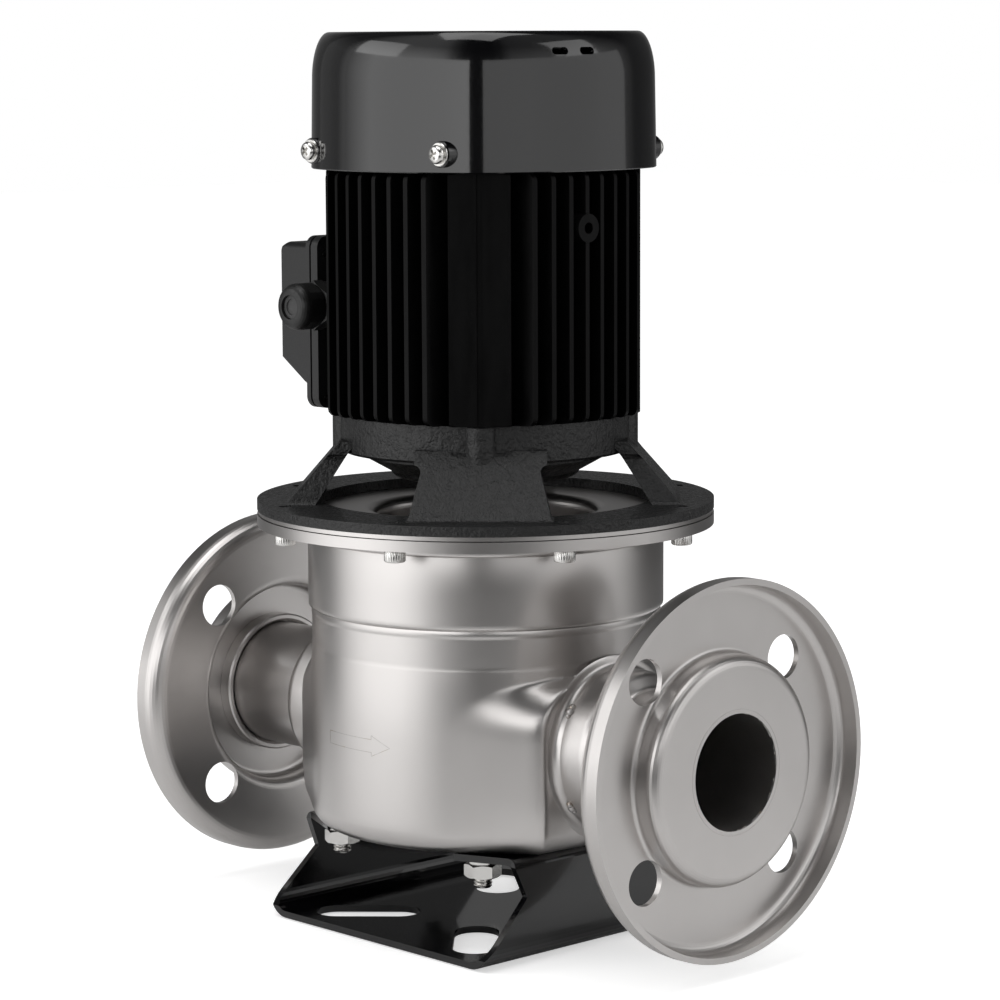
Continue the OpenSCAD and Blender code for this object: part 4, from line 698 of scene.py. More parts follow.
class PUMP_OT_ring_screws(bpy.types.Operator):
    """Socket head screws that hang below the pot ring"""

    bl_idname = "pump.ring_screws"
    bl_label = "Ring Screws"

    def execute(self, context):
        sizes = context.scene.pump_sizes
        top = low("casing_ring").z
        height = top - low("ring_screws_set").z
        shank = high("ring_screws_set").z - top
        tree = ring_of_copies("Ring Screw Copies", "bright fasteners")
        mesh = grown(
            "ring_screws", socket_screw(sizes.ring_head, height, sizes.knurls, shank), tree,
            Count=sizes.ring_screw_count, Radius=sizes.ring_circle, Height=top,
            Turn=math.pi / sizes.ring_screw_count, Seed=3,
        )
        add_piece("ring_screws", mesh, "bright fasteners", "housing", ["ring_screws_set"])
        return {"FINISHED"}


def helix_rod(bm, radius, pitch, bottom, top, steps=24):
    """A threaded rod: its groove climbs one pitch a turn, and its lower end is chamfered."""
    depth = 0.54 * pitch
    turns = int((top - bottom) / pitch)
    rows = turns * 4
    previous = None
    first = None
    for row in range(rows + 1):
        ring = []
        for i in range(steps):
            share = (row / 4 + i / steps) % 1
            groove = depth * (1 - abs(2 * share - 1))
            z = bottom + (top - bottom) * row / rows
            near_end = max(0.0, 1.0 * MM - (z - bottom))
            r = min(radius - groove, radius - near_end * 0.8)
            angle = math.tau * i / steps
            ring.append(bm.verts.new((r * math.cos(angle), r * math.sin(angle), z)))
        if previous:
            join_rings(bm, previous, ring)
        else:
            first = ring
        previous = ring
    centre = bm.verts.new((0, 0, bottom))
    join_rings(bm, [centre], first)
    cap = bm.verts.new((0, 0, top))
    join_rings(bm, previous, [cap])


def hex_nut(bm, flats, bore, bottom, top, steps=48):
    """A hexagon nut whose corners are turned down at both ends, with a countersunk bore."""
    countersink = 0.6 * MM
    face = flats / 2 - 0.15 * MM

    def hexagon(end, inwards):
        """The edge of a side, which drops away from the end face towards the corners."""
        ring = []
        for i in range(steps):
            angle = math.tau * i / steps
            reach = flats / 2 / math.cos(side_angle(math.degrees(angle), 60))
            drop = 0.05 * MM + (reach - flats / 2) * math.tan(math.radians(30))
            z = end + inwards * drop
            ring.append(bm.verts.new((reach * math.cos(angle), reach * math.sin(angle), z)))
        return ring

    rows = [
        level_circle(bm, bore, bottom + countersink, steps),
        level_circle(bm, bore + countersink, bottom, steps),
        level_circle(bm, face, bottom, steps),
        hexagon(bottom, 1),
        hexagon(top, -1),
        level_circle(bm, face, top, steps),
        level_circle(bm, bore + countersink, top, steps),
        level_circle(bm, bore, top - countersink, steps),
    ]
    for lower, upper in zip(rows, rows[1:] + rows[:1]):
        join_rings(bm, lower, upper)


def split_washer(bm, inner, outer, bottom, top, steps=44):
    """A square-section spring washer, cut through and a little risen at the cut."""
    gap = math.radians(8)
    lift = (top - bottom) * 0.25
    rings = []
    for i in range(steps + 1):
        angle = gap / 2 + (math.tau - gap) * i / steps
        rise = lift * (i / steps)
        low_z, high_z = bottom + rise, top - lift + rise
        rings.append([
            bm.verts.new((r * math.cos(angle), r * math.sin(angle), z))
            for r, z in ((inner, low_z), (outer, low_z), (outer, high_z), (inner, high_z))
        ])
    for a, b in zip(rings, rings[1:]):
        for k in range(4):
            bm.faces.new((a[k], a[(k + 1) % 4], b[(k + 1) % 4], b[k]))
    bm.faces.new(rings[0])
    bm.faces.new(list(reversed(rings[-1])))


class PUMP_OT_base_fasteners(bpy.types.Operator):
    """Threaded studs, nuts and spring washers below the base's top flanges"""

    bl_idname = "pump.base_fasteners"
    bl_label = "Base Fasteners"

    def execute(self, context):
        sizes = context.scene.pump_sizes
        nut_low, nut_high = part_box("base_nuts")
        stud_low, stud_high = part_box("base_studs")
        washer_low, washer_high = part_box("base_washers")
        width = (stud_high.x - stud_low.x) - 2 * sizes.stud_radius
        depth = (stud_high.y - stud_low.y) - 2 * sizes.stud_radius
        stud = sizes.stud_radius
        parts = {
            "base_stud_threads": (
                helix_rod, (stud, sizes.stud_pitch, stud_low.z, stud_high.z),
                "base_studs", 30,
            ),
            "base_hex_nuts": (
                hex_nut, (sizes.nut_flats, stud - 0.3 * MM, nut_low.z, nut_high.z),
                "base_nuts", 25,
            ),
            "base_spring_washers": (
                split_washer, (stud + 0.2 * MM, stud + 1.7 * MM, washer_low.z, washer_high.z),
                "base_washers", 35,
            ),
        }
        for name, (build, values, node, smooth) in parts.items():
            bm = bmesh.new()
            build(bm, *values)
            tree = grid_of_copies(name + " Copies", "bright fasteners", False)
            mesh = grown(name, mesh_of(name, bm), tree, Width=width, Depth=depth, Height=0.0, Seed=5)
            add_piece(name, mesh, "bright fasteners", "housing", [node], smooth)
        return {"FINISHED"}


def cross_recess_screw(head_radius, head_height, washer_radius, washer_height):
    """Pan head with a cross recess on a round washer, standing on z 0."""
    bm = bmesh.new()
    steps = 48
    arm, half = head_radius * 0.56, head_radius * 0.15
    top = washer_height + head_height
    floor = washer_height + head_height * 0.25

    def cross(share, height):
        """One ring of the recess's wall."""
        reaches = []
        for i in range(steps):
            off = side_angle(i * 360 / steps, 90)
            reach = arm
            if abs(math.tan(off)) > half / arm:
                reach = min(arm, half / max(1e-6, abs(math.sin(off))))
            reaches.append(reach * share)
        return level_ring(bm, reaches, height)

    profile = [
        (washer_radius, 0),
        (washer_radius, washer_height * 0.7),
        (washer_radius - 0.25 * MM, washer_height),
        (head_radius * 0.9, washer_height),
        (head_radius, washer_height + 0.25 * MM),
        (head_radius, washer_height + head_height * 0.45),
        (head_radius * 0.93, washer_height + head_height * 0.7),
        (head_radius * 0.8, washer_height + head_height * 0.88),
        (head_radius * 0.62, top - 0.06 * MM),
    ]
    rows = [[bm.verts.new((0, 0, 0))]]
    rows += [level_circle(bm, radius, height, steps) for radius, height in profile]
    rows += [cross(1.0, top), cross(0.8, floor + (top - floor) * 0.3), [bm.verts.new((0, 0, floor))]]
    for lower, upper in zip(rows, rows[1:]):
        join_rings(bm, lower, upper)
    return mesh_of("cross recess screw", bm)


def cut(mesh, tool, operation="DIFFERENCE"):
    """Cuts one closed mesh out of another, or with UNION joins them, and returns a plain mesh."""
    body = bpy.data.objects.new("body", mesh)
    knife = bpy.data.objects.new("knife", tool)
    for item in (body, knife):
        bpy.context.scene.collection.objects.link(item)
    modifier = body.modifiers.new("Cut", "BOOLEAN")
    modifier.operation = operation
    modifier.solver = "MANIFOLD"
    modifier.object = knife
    made = bpy.data.meshes.new_from_object(body.evaluated_get(bpy.context.evaluated_depsgraph_get()))
    bpy.data.objects.remove(body)
    bpy.data.objects.remove(knife)
    return made


class PUMP_OT_pot(bpy.types.Operator):
    """Pressed pot whose round wall runs smoothly out to the flats round both ports"""

    bl_idname = "pump.pot"
    bl_label = "Pot"

    wall = 2 * MM
    foot_corner = 9 * MM
    bead_height = 91.6 * MM
    crease_height = 74.5 * MM
    arch_start = 46 * MM
    arch_top = 73 * MM

    def execute(self, context):
        sizes = context.scene.pump_sizes
        self.base, self.top = low("casing").z, high("casing").z
        self.weld_x = high("casing").x
        self.flat = sizes.pot_radius + 0.4 * MM
        self.upper = high("casing").y
        self.sizes = sizes
        bearings = self.bearings()
        bm = bmesh.new()
        outer = [self.ring(bm, bearings, z, 0.0) for z in self.heights()]
        inner_heights = [max(z, self.wall) for z in self.heights()]
        inner = [self.ring(bm, bearings, z, self.wall) for z in inner_heights[3:]]
        for rows in (outer, inner):
            for lower, upper in zip(rows, rows[1:]):
                join_rings(bm, lower, upper)
            middle = bm.verts.new((0, 0, rows[0][0].co.z))
            join_rings(bm, [middle], rows[0])
        join_rings(bm, outer[-1], inner[-1])
        mesh = mesh_of("pot", bm)
        hole = high("discharge_tube").y + 0.05 * MM
        for side in (-1, 1):
            mesh = cut(mesh, self.port_hole(side, hole))
            mesh = self.with_collar(mesh, side, hole)
        add_piece("pot", mesh, "satin stainless pot", "housing", ["casing"], 40)
        return {"FINISHED"}

    def bearings(self):
        """Bearings of the mesh's columns, close together at the ports' corners."""
        quarter = [0.75 * i for i in range(38)] + [28 + 2 * i for i in range(1, 31)]
        found = []
        for k in range(4):
            if k % 2 == 0:
                found += [90 * k + b for b in quarter]
            else:
                found += [90 * k + 90 - b for b in reversed(quarter + [90])][:-1]
        return [math.radians(b) for b in sorted(set(round(b, 3) for b in found)) if b < 360]

    def heights(self):
        """Heights of the mesh's rows above the pot's foot."""
        foot = [self.foot_corner * (1 - math.cos(math.radians(10 * i))) for i in range(9)]
        wall = [9, 12, 15, 18, 21, 24, 30, 36, 42, 46, 48, 50, 52, 54, 56, 58, 60]
        wall += [61 + 0.75 * i for i in range(16)] + [72.7, 73.0, 73.6, 74.3, 74.7, 76, 80, 85.6, 86.6]
        wall += [87.0, 87.5, 88.0, 88.5, 89.0, 89.5, 90.0, 90.6, 91.2, 91.6, 93, 98, 104]
        height = (self.top - self.base) / MM
        wall += [height - d for d in (9.3, 8.9, 8.6, 8.3, 7.9, 4, 0)]
        return foot + [h * MM for h in wall]

    def radius(self, z):
        """Outer radius of the round wall at a height above the foot."""
        sizes = self.sizes
        if z < self.foot_corner:
            drop = self.foot_corner - z
            return sizes.pot_radius - self.foot_corner + math.sqrt(self.foot_corner ** 2 - drop ** 2)
        below, above = self.crease_height - 28 * MM, self.crease_height
        if z < above:
            share = max(0.0, (z - below) / (above - below))
            return sizes.pot_radius - (sizes.pot_radius - sizes.pot_waist - 0.06 * MM) * share ** 2
        if z < 87 * MM:
            return sizes.pot_waist
        if z < 90 * MM:
            return sizes.pot_waist + 0.22 * MM * math.sin(math.pi * (z - 87 * MM) / (3 * MM))
        if z < self.bead_height:
            share = (z - 90 * MM) / (self.bead_height - 90 * MM)
            return sizes.pot_waist + (self.upper - sizes.pot_waist) * math.sin(share * math.pi / 2)
        line = (self.top - self.base) - 8.6 * MM
        return self.upper - 0.25 * MM * max(0.0, 1 - abs(z - line) / (0.5 * MM))

    def corner_at(self, z):
        """Centre and radius of the upright corner beside a port at a height above the foot."""
        sizes = self.sizes
        rounding = sizes.port_corner
        x, y = self.flat - rounding, sizes.port_half_width - rounding
        if z > self.arch_start:
            share = min(1.0, (z - self.arch_start) / (self.arch_top - self.arch_start))
            y *= max(0.0, 1 - share ** 2.6) ** 0.55
            edge = 8 * MM
            near = max(0.0, (z - self.arch_top + edge) / edge)
            x -= edge * (1 - math.sqrt(max(0.0, 1 - min(1.0, near) ** 2)))
        deep = 22 * MM
        if z < deep:
            lean = 3.2 * MM * (1 - math.sqrt(1 - ((deep - z) / deep) ** 2))
            x, y = x - lean, y - lean
        return x, y, rounding

    def reach(self, bearing, z, inset):
        """Distance of the skin from the motor axis: the round wall and the ports' corners wrapped tightly."""
        full = self.radius(z)
        if z >= self.arch_top:
            return full - inset
        x, y, rounding = self.corner_at(z)
        rounding -= max(0.0, self.sizes.pot_radius - full) if z < self.foot_corner else 0.0
        far = math.hypot(x, y)
        if far + rounding <= full:
            return full - inset
        turn = abs((bearing + math.pi / 2) % math.pi - math.pi / 2)
        middle, spread = math.atan2(y, x), math.acos((full - rounding) / far)
        last = middle + spread
        meet = math.atan2(y + rounding * math.sin(last), x + rounding * math.cos(last))
        if turn >= last:
            return full - inset
        if turn >= meet:
            return full / math.cos(turn - last) - inset
        if x + rounding >= full:
            if (x + rounding) * math.tan(turn) <= y:
                return (x + rounding) / math.cos(turn) - inset
        else:
            first = middle - spread
            if turn <= first:
                return full - inset
            if turn <= math.atan2(y + rounding * math.sin(first), x + rounding * math.cos(first)):
                return full / math.cos(turn - first) - inset
        along = x * math.cos(turn) + y * math.sin(turn)
        return along + math.sqrt(max(0.0, along ** 2 - far ** 2 + rounding ** 2)) - inset

    def ring(self, bm, bearings, z, inset):
        """One row of the skin."""
        row = []
        for b in bearings:
            r = self.reach(b, z, inset)
            row.append(bm.verts.new((r * math.cos(b), r * math.sin(b), self.base + z)))
        return row

    def with_collar(self, mesh, side, hole):
        """Adds the short collar drawn out of the flat, up to the weld of the neck."""
        neck = self.sizes.collar_radius
        flare = [(4.6, -0.6), (3.6, 0.03), (2.4, 0.25), (1.4, 0.7), (0.6, 1.5), (0.15, 2.5)]
        profile = [(hole, self.flat - 3 * MM)]
        profile += [(neck + wider * MM, self.flat + out * MM) for wider, out in flare]
        profile += [(neck, self.weld_x), (hole, self.weld_x)]
        bm = bmesh.new()
        bm.from_mesh(mesh)
        rings = [port_circle(bm, radius, side * x, 120) for radius, x in profile]
        for lower, upper in zip(rings, rings[1:] + rings[:1]):
            join_rings(bm, lower, upper)
        return mesh_of("pot", bm)

    def port_hole(self, side, radius):
        """The round hole in the flat of one port."""
        bm = bmesh.new()
        rings = [port_circle(bm, radius, side * x, 96) for x in (self.flat - 12 * MM, self.weld_x + 5 * MM)]
        join_rings(bm, *rings)
        bm.faces.new(rings[0])
        bm.faces.new(rings[1])
        return mesh_of("port hole", bm)


class HoodOutline:
    """Plan of the hood: four bowed sides that run smoothly into rounded corners."""

    def __init__(self, half, crown, reach):
        self.shift = crown - half
        self.crown = crown
        gap = crown - reach
        self.middle = (gap ** 2 - self.shift ** 2) / (2 * self.shift - 2 * math.sqrt(2) * gap)
        self.corner = reach - self.middle * math.sqrt(2)
        self.meet = math.degrees(math.atan2(self.middle, self.middle + self.shift))

    def point(self, facing, inset):
        """Place on the outline where it faces this way, moved in by inset."""
        turn = round(facing / 90) * 90
        local = facing - turn
        if abs(local) <= self.meet:
            x, y, radius = -self.shift, 0.0, self.crown
        else:
            x, y, radius = self.middle, math.copysign(self.middle, local), self.corner
        x += (radius - inset) * math.cos(math.radians(local))
        y += (radius - inset) * math.sin(math.radians(local))
        c, s = math.cos(math.radians(turn)), math.sin(math.radians(turn))
        return x * c - y * s, x * s + y * c

    def facing_at(self, bearing):
        """The way that the outline faces at a bearing from the motor axis."""
        below, above = bearing - 30, bearing + 30
        for _ in range(30):
            facing = (below + above) / 2
            x, y = self.point(facing, 0)
            off = (math.degrees(math.atan2(y, x)) - bearing + 180) % 360 - 180
            below, above = (facing, above) if off < 0 else (below, facing)
        return facing


class PUMP_OT_hood(bpy.types.Operator):
    """Smooth bowed hood with its air grille and two vents"""

    bl_idname = "pump.hood"
    bl_label = "Hood"

    bar_steps = 22
    edge_depth = 7 * MM
    edge_height = 19 * MM
    draft = math.tan(math.radians(1))

    def execute(self, context):
        sizes = context.scene.pump_sizes
        base, top = low("fan_cover").z, high("fan_cover").z
        half = high("fan_cover").x
        self.outline = HoodOutline(half, sizes.hood_crown, sizes.hood_corner_reach)
        self.wall = sizes.hood_wall
        self.base, self.rise = base, top - base
        pitch = sizes.grille_slot + 3.2 * MM
        slots = [half * 0.153 + i * pitch for i in range(sizes.grille_rings)]
        circles = [r for start in reversed(slots) for r in (start + sizes.grille_slot, start)]

        bm = bmesh.new()
        bearings = self.bearings(circles[0], sizes.grille_bar)
        facings = [self.outline.facing_at(b) for b in bearings]
        bar = sizes.grille_bar
        outer = self.side_rows(bm, facings, 0.0) + self.top_rows(bm, circles, bar, top)
        inner = self.side_rows(bm, facings, self.wall) + self.top_rows(bm, circles, bar, top - self.wall)
        first_slot = len(outer) - len(circles)
        self.skin(bm, outer, inner, first_slot)
        mesh = mesh_of("hood", bm)

        mesh = cut(mesh, self.pads(sizes), "UNION")
        mesh = cut(mesh, self.hollow(facings))
        for across in (-0.264, -0.064):
            mesh = cut(mesh, self.vent(half, across * half, top - 7.8 * MM))
        add_piece("hood", mesh, "gloss black sheet", "housing", ["fan_cover"], 32)
        return {"FINISHED"}

    def bearings(self, radius, bar):
        """Bearings of the mesh's columns, with a pair at each bar of the grille."""
        edge = math.degrees(math.asin(bar / 2 / radius))
        found = []
        for k in range(8):
            middle = 22.5 + 45 * k
            found.append(middle - edge)
            steps = self.bar_steps - 1
            found += [middle + edge + (45 - 2 * edge) * i / steps for i in range(steps)]
        return found

    def side_rows(self, bm, facings, wall):
        """Rows from the lower rim up the side and over the rounded upper edge."""
        side = self.rise - self.edge_height
        places = [(0.4 * MM if wall == 0 else wall, 0)]
        places += [(wall, 0.4 * MM), (wall + side * self.draft, side)]
        for i in range(1, 15):
            a = math.pi / 2 * i / 14
            places.append((
                wall + side * self.draft + (self.edge_depth - wall) * (1 - math.cos(a)),
                side + (self.edge_height - wall) * math.sin(a),
            ))
        rows = []
        for inset, height in places:
            rows.append([bm.verts.new((*self.outline.point(f, inset), self.base + height)) for f in facings])
        return rows

    def top_rows(self, bm, circles, bar, height):
        """Circles of the grille, whose columns keep the bars straight."""
        rows = []
        for radius in circles:
            rows.append([
                bm.verts.new((radius * math.cos(math.radians(b)), radius * math.sin(math.radians(b)), height))
                for b in self.bearings(radius, bar)
            ])
        return rows

    def skin(self, bm, outer, inner, first_slot):
        """Faces of both skins, the walls of the slots, the rim and the middle."""
        columns = len(outer[0])

        def is_open(row, column):
            slot = row - first_slot
            on_bar = column % columns % self.bar_steps == 0
            return slot >= 0 and slot % 2 == 0 and row + 1 < len(outer) and not on_bar

        for row in range(len(outer) - 1):
            for j in range(columns):
                k = (j + 1) % columns
                if not is_open(row, j):
                    bm.faces.new((outer[row][j], outer[row][k], outer[row + 1][k], outer[row + 1][j]))
                    bm.faces.new((inner[row][j], inner[row + 1][j], inner[row + 1][k], inner[row][k]))
                    continue
                walls = [((row, j), (row, k)), ((row + 1, j), (row + 1, k))]
                if not is_open(row, j - 1):
                    walls.append(((row, j), (row + 1, j)))
                if not is_open(row, j + 1):
                    walls.append(((row, k), (row + 1, k)))
                for (r0, c0), (r1, c1) in walls:
                    bm.faces.new((outer[r0][c0], outer[r1][c1], inner[r1][c1], inner[r0][c0]))
        for j in range(columns):
            k = (j + 1) % columns
            bm.faces.new((outer[0][j], inner[0][j], inner[0][k], outer[0][k]))
        for rows in (outer, inner):
            middle = bm.verts.new((0, 0, rows[-1][0].co.z))
            join_rings(bm, rows[-1], [middle])

    def pads(self, sizes):
        """Flat round pads under the hood screws."""
        screw_low, screw_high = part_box("fan_cover_screws")
        radius = 5.2 * MM
        across = (screw_high.x - screw_low.x) / 2 - (screw_high.z - screw_low.z) / 2
        height = (screw_high.z + screw_low.z) / 2
        face = math.sqrt(sizes.hood_crown ** 2 - (across - radius + 1 * MM) ** 2) - self.outline.shift
        bm = bmesh.new()
        profile = ((radius, face - 8 * MM), (radius, face - 0.3 * MM), (radius - 0.3 * MM, face))
        for middle in (-across, across):
            for side in (-1, 1):
                rings = []
                for r, y in profile:
                    facing = side * y
                    rings.append(circle_facing(bm, r, middle, height, 32, lambda x, z: (x, facing, z)))
                for lower, upper in zip(rings, rings[1:]):
                    join_rings(bm, lower, upper)
                bm.faces.new(rings[0])
                bm.faces.new(rings[-1])
        return mesh_of("pads", bm)

    def hollow(self, facings):
        """The space inside the hood, which trims the pads' backs."""
        bm = bmesh.new()
        rows = self.side_rows(bm, facings, self.wall + 0.05 * MM)
        for lower, upper in zip(rows, rows[1:]):
            join_rings(bm, lower, upper)
        bm.faces.new(rows[0])
        bm.faces.new(rows[-1])
        return mesh_of("hollow", bm)

    def vent(self, half, y, z):
        """A slot with round ends through the side."""
        width, height = 7.3 * MM, 2.9 * MM
        bm = bmesh.new()
        ring = []
        for i in range(24):
            a = math.tau * (i + 0.5) / 24
            shift = math.copysign(width / 2 - height / 2, math.cos(a))
            ring.append((y + shift + height / 2 * math.cos(a), z + height / 2 * math.sin(a)))
        rings = [[bm.verts.new((x, *p)) for p in ring] for x in (half - 14 * MM, half + 5 * MM)]
        join_rings(bm, *rings)
        bm.faces.new(rings[0])
        bm.faces.new(rings[1])
        return mesh_of("vent", bm)


class PUMP_OT_hood_screws(bpy.types.Operator):
    """Cross recess screws with washers on the two long sides of the hood"""

    bl_idname = "pump.hood_screws"
    bl_label = "Hood Screws"

    def execute(self, context):
        screw_low, screw_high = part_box("fan_cover_screws")
        head_radius, head_height, washer_height = 3.7 * MM, 2.6 * MM, 0.85 * MM
        boss_y = screw_high.y - head_height - washer_height
        washer = (screw_high.z - screw_low.z) / 2
        height = (screw_high.z + screw_low.z) / 2
        width = (screw_high.x - screw_low.x) - 2 * washer
        tree = grid_of_copies("Hood Screw Copies", "bright fasteners", True)
        mesh = grown(
            "hood_screws", cross_recess_screw(head_radius, head_height, washer, washer_height), tree,
            Width=width, Depth=2 * boss_y, Height=height, Seed=11,
        )
        add_piece(
            "hood_screws", mesh, "bright fasteners", "housing", ["fan_cover_screws"], 30,
        )
        return {"FINISHED"}


# Welds


class PUMP_OT_welds(bpy.types.Operator):
    """Weld beads round the port faces and tack welds at the necks"""

    bl_idname = "pump.welds"
    bl_label = "Weld Beads"

    def execute(self, context):
        sizes = context.scene.pump_sizes
        bead = sizes.bead_width
        tube_r = high("discharge_tube").y
        neck_r = high("discharge_neck").y
        neck_x = low("discharge_neck").x
        along_ports = (0, math.pi / 2, 0)
        face_x = GASKET_X - bead * 0.25
        tree = bead_ring("Weld Bead", "weld bead")
        for side, port in ((1, "discharge"), (-1, "suction")):
            name = f"{port}_face_weld"
            mesh = grown(
                name, bpy.data.meshes.new("face_weld"), tree,
                Count=150, Radius=tube_r - 0.2 * MM, Width=bead * 1.25, Squash=0.34,
                Turn=along_ports, Place=(side * face_x, 0, PORT_Z), Seed=sizes.bead_seed + side,
            )
            add_piece(name, mesh, "weld bead", "housing", smooth_angle=60)
            tacks = self.tack_welds(side, neck_x, neck_r, bead)
            add_piece(f"{port}_tack_welds", tacks, "weld bead", "housing", smooth_angle=60)
        return {"FINISHED"}

    @staticmethod
    def tack_welds(side, neck_x, neck_r, bead):
        """Four small lumps of weld where the neck meets the pot's collar."""
        bm = bmesh.new()
        for turn in (36, 144, 216, 324):
            angle = math.radians(turn)
            place = Vector((side * neck_x, neck_r * math.cos(angle), PORT_Z + neck_r * math.sin(angle)))
            for along, size in ((-0.45, 1.0), (0.3, 1.15), (0.95, 0.8)):
                shift = Vector((0, -math.sin(angle), math.cos(angle))) * bead * along
                bmesh.ops.create_icosphere(
                    bm, subdivisions=2, radius=bead * 0.62 * size, matrix=Matrix.Translation(place + shift)
                )
        return mesh_of("tack welds", bm)


# Flow arrow


class PUMP_OT_flow_arrow(bpy.types.Operator):
    """Outline of the flow arrow engraved in the pot's skin"""

    bl_idname = "pump.flow_arrow"
    bl_label = "Flow Arrow"

    def execute(self, context):
        radius = context.scene.pump_sizes.pot_radius
        half = 0.11 * MM
        middle = PORT_Z + 1.8 * MM
        outline = [
            (-17, -2.6), (9.5, -2.6), (9.5, -4.2), (18.7, 0), (9.5, 4.2), (9.5, 2.6), (-17, 2.6),
        ]
        bm = bmesh.new()
        for (x0, z0), (x1, z1) in zip(outline, outline[1:] + outline[:1]):
            self.groove(bm, radius, middle, (x0 * MM, z0 * MM), (x1 * MM, z1 * MM), half)
        add_piece("flow_arrow", mesh_of("flow_arrow", bm), "weld bead", "housing")
        return {"FINISHED"}

    @staticmethod
    def groove(bm, radius, middle, start, end, half):
        """A thin bar on the pot between two places given as arc length and height."""
        depth = 0.25 * MM
        steps = max(2, int(abs(end[0] - start[0]) / (1 * MM)))
        run = Vector((end[0] - start[0], end[1] - start[1])).normalized()
        side = Vector((-run.y, run.x)) * half
        rows = []
        for i in range(steps + 1):
            t = i / steps
            centre = Vector((start[0] + (end[0] - start[0]) * t, start[1] + (end[1] - start[1]) * t))
            row = []
            for offset, lift in ((-1, -0.2 * MM), (1, -0.2 * MM), (1, 0.03 * MM), (-1, 0.03 * MM)):
                p = centre + side * offset
                angle = p.x / (radius - depth) - math.pi / 2
                r = radius + lift
                row.append(bm.verts.new((r * math.cos(angle), r * math.sin(angle), middle + p.y)))
            rows.append(row)
        for a, b in zip(rows, rows[1:]):
            for k in range(4):
                bm.faces.new((a[k], a[(k + 1) % 4], b[(k + 1) % 4], b[k]))
        bm.faces.new(rows[0])
        bm.faces.new(list(reversed(rows[-1])))


# Stage


def area_lamp(name, location, target, width, height, watts):
    """A soft white lamp of this size that looks at the target."""
    data = bpy.data.lights.new(name, "AREA")
    data.shape = "RECTANGLE"
    data.size, data.size_y = width, height
    data.energy = watts
    lamp = bpy.data.objects.new(name, data)
    lamp.location = location
    lamp.rotation_euler = (Vector(target) - Vector(location)).to_track_quat("-Z", "Y").to_euler()
    bpy.context.scene.collection.objects.link(lamp)
    return lamp


# Bearing of the product view in degrees; angles below are measured from it, each with a brightness.
CAMERA_SIDE = -43.3
REFLECTED_PANELS = (
    (-165, 0.2), (-140, 0.12), (-116, 0.2), (-98, 1.1), (-82, 1.55), (-58, 1.65), (-46, 1.35),
    (-34, 0.55), (-22, 0.12), (-8, 0.05), (14, 0.05), (26, 0.14), (38, 0.5), (66, 0.66),
    (90, 0.66), (104, 0.34), (120, 0.07), (150, 0.08), (186, 0.2),
)
LEFT_CARD = ((-107, 0.4), (-98, 0.95), (-87, 1.65), (-45, 2.0), (-13, 2.2))
RIGHT_CARD = ((2, 1.1), (45, 1.1), (90, 0.9), (107, 0.7))
CARD_BOTTOM, CARD_TOP = 0.21, 0.7


def studio_world(world):
    """White where the camera looks past the pump; soft panels and dark gaps round it for gloss and metal."""
    world.use_nodes = True
    tree = world.node_tree
    tree.nodes.clear()
    rays = add_node(tree, "ShaderNodeLightPath").outputs
    direction = add_node(tree, "ShaderNodeTexCoord").outputs["Generated"]
    around = add_node(tree, "ShaderNodeTexGradient", {"Vector": direction}, gradient_type="RADIAL")
    panels = add_node(tree, "ShaderNodeValToRGB", {"Fac": around.outputs["Fac"]})
    turned = [(((angle + CAMERA_SIDE) / 360 + 0.5) % 1, level) for angle, level in REFLECTED_PANELS]
    fill_ramp(panels, [(place, (level, level, level, 1)) for place, level in sorted(turned)])
    split = add_node(tree, "ShaderNodeSeparateXYZ", {"Vector": direction})
    dim = add_node(tree, "ShaderNodeMapRange", {
        "From Min": 0.3, "From Max": 0.55, "To Min": 1.0, "To Max": 0.35, "Value": split.outputs["Z"],
    })
    mirrored = add_node(tree, "ShaderNodeBackground", {"Color": panels, "Strength": dim})
    ambient = add_node(tree, "ShaderNodeBackground", {"Color": (0.62, 0.62, 0.62, 1)})
    white = add_node(tree, "ShaderNodeBackground", {"Color": (1, 1, 1, 1)})
    gloss = add_node(tree, "ShaderNodeMixShader", {"Fac": rays["Is Glossy Ray"], 1: ambient, 2: mirrored})
    direct = {0: rays["Is Camera Ray"], 1: rays["Is Transmission Ray"]}
    seen = add_node(tree, "ShaderNodeMath", direct, operation="MAXIMUM")
    final = add_node(tree, "ShaderNodeMixShader", {"Fac": seen, 1: gloss, 2: white})
    add_node(tree, "ShaderNodeOutputWorld", {"Surface": final})


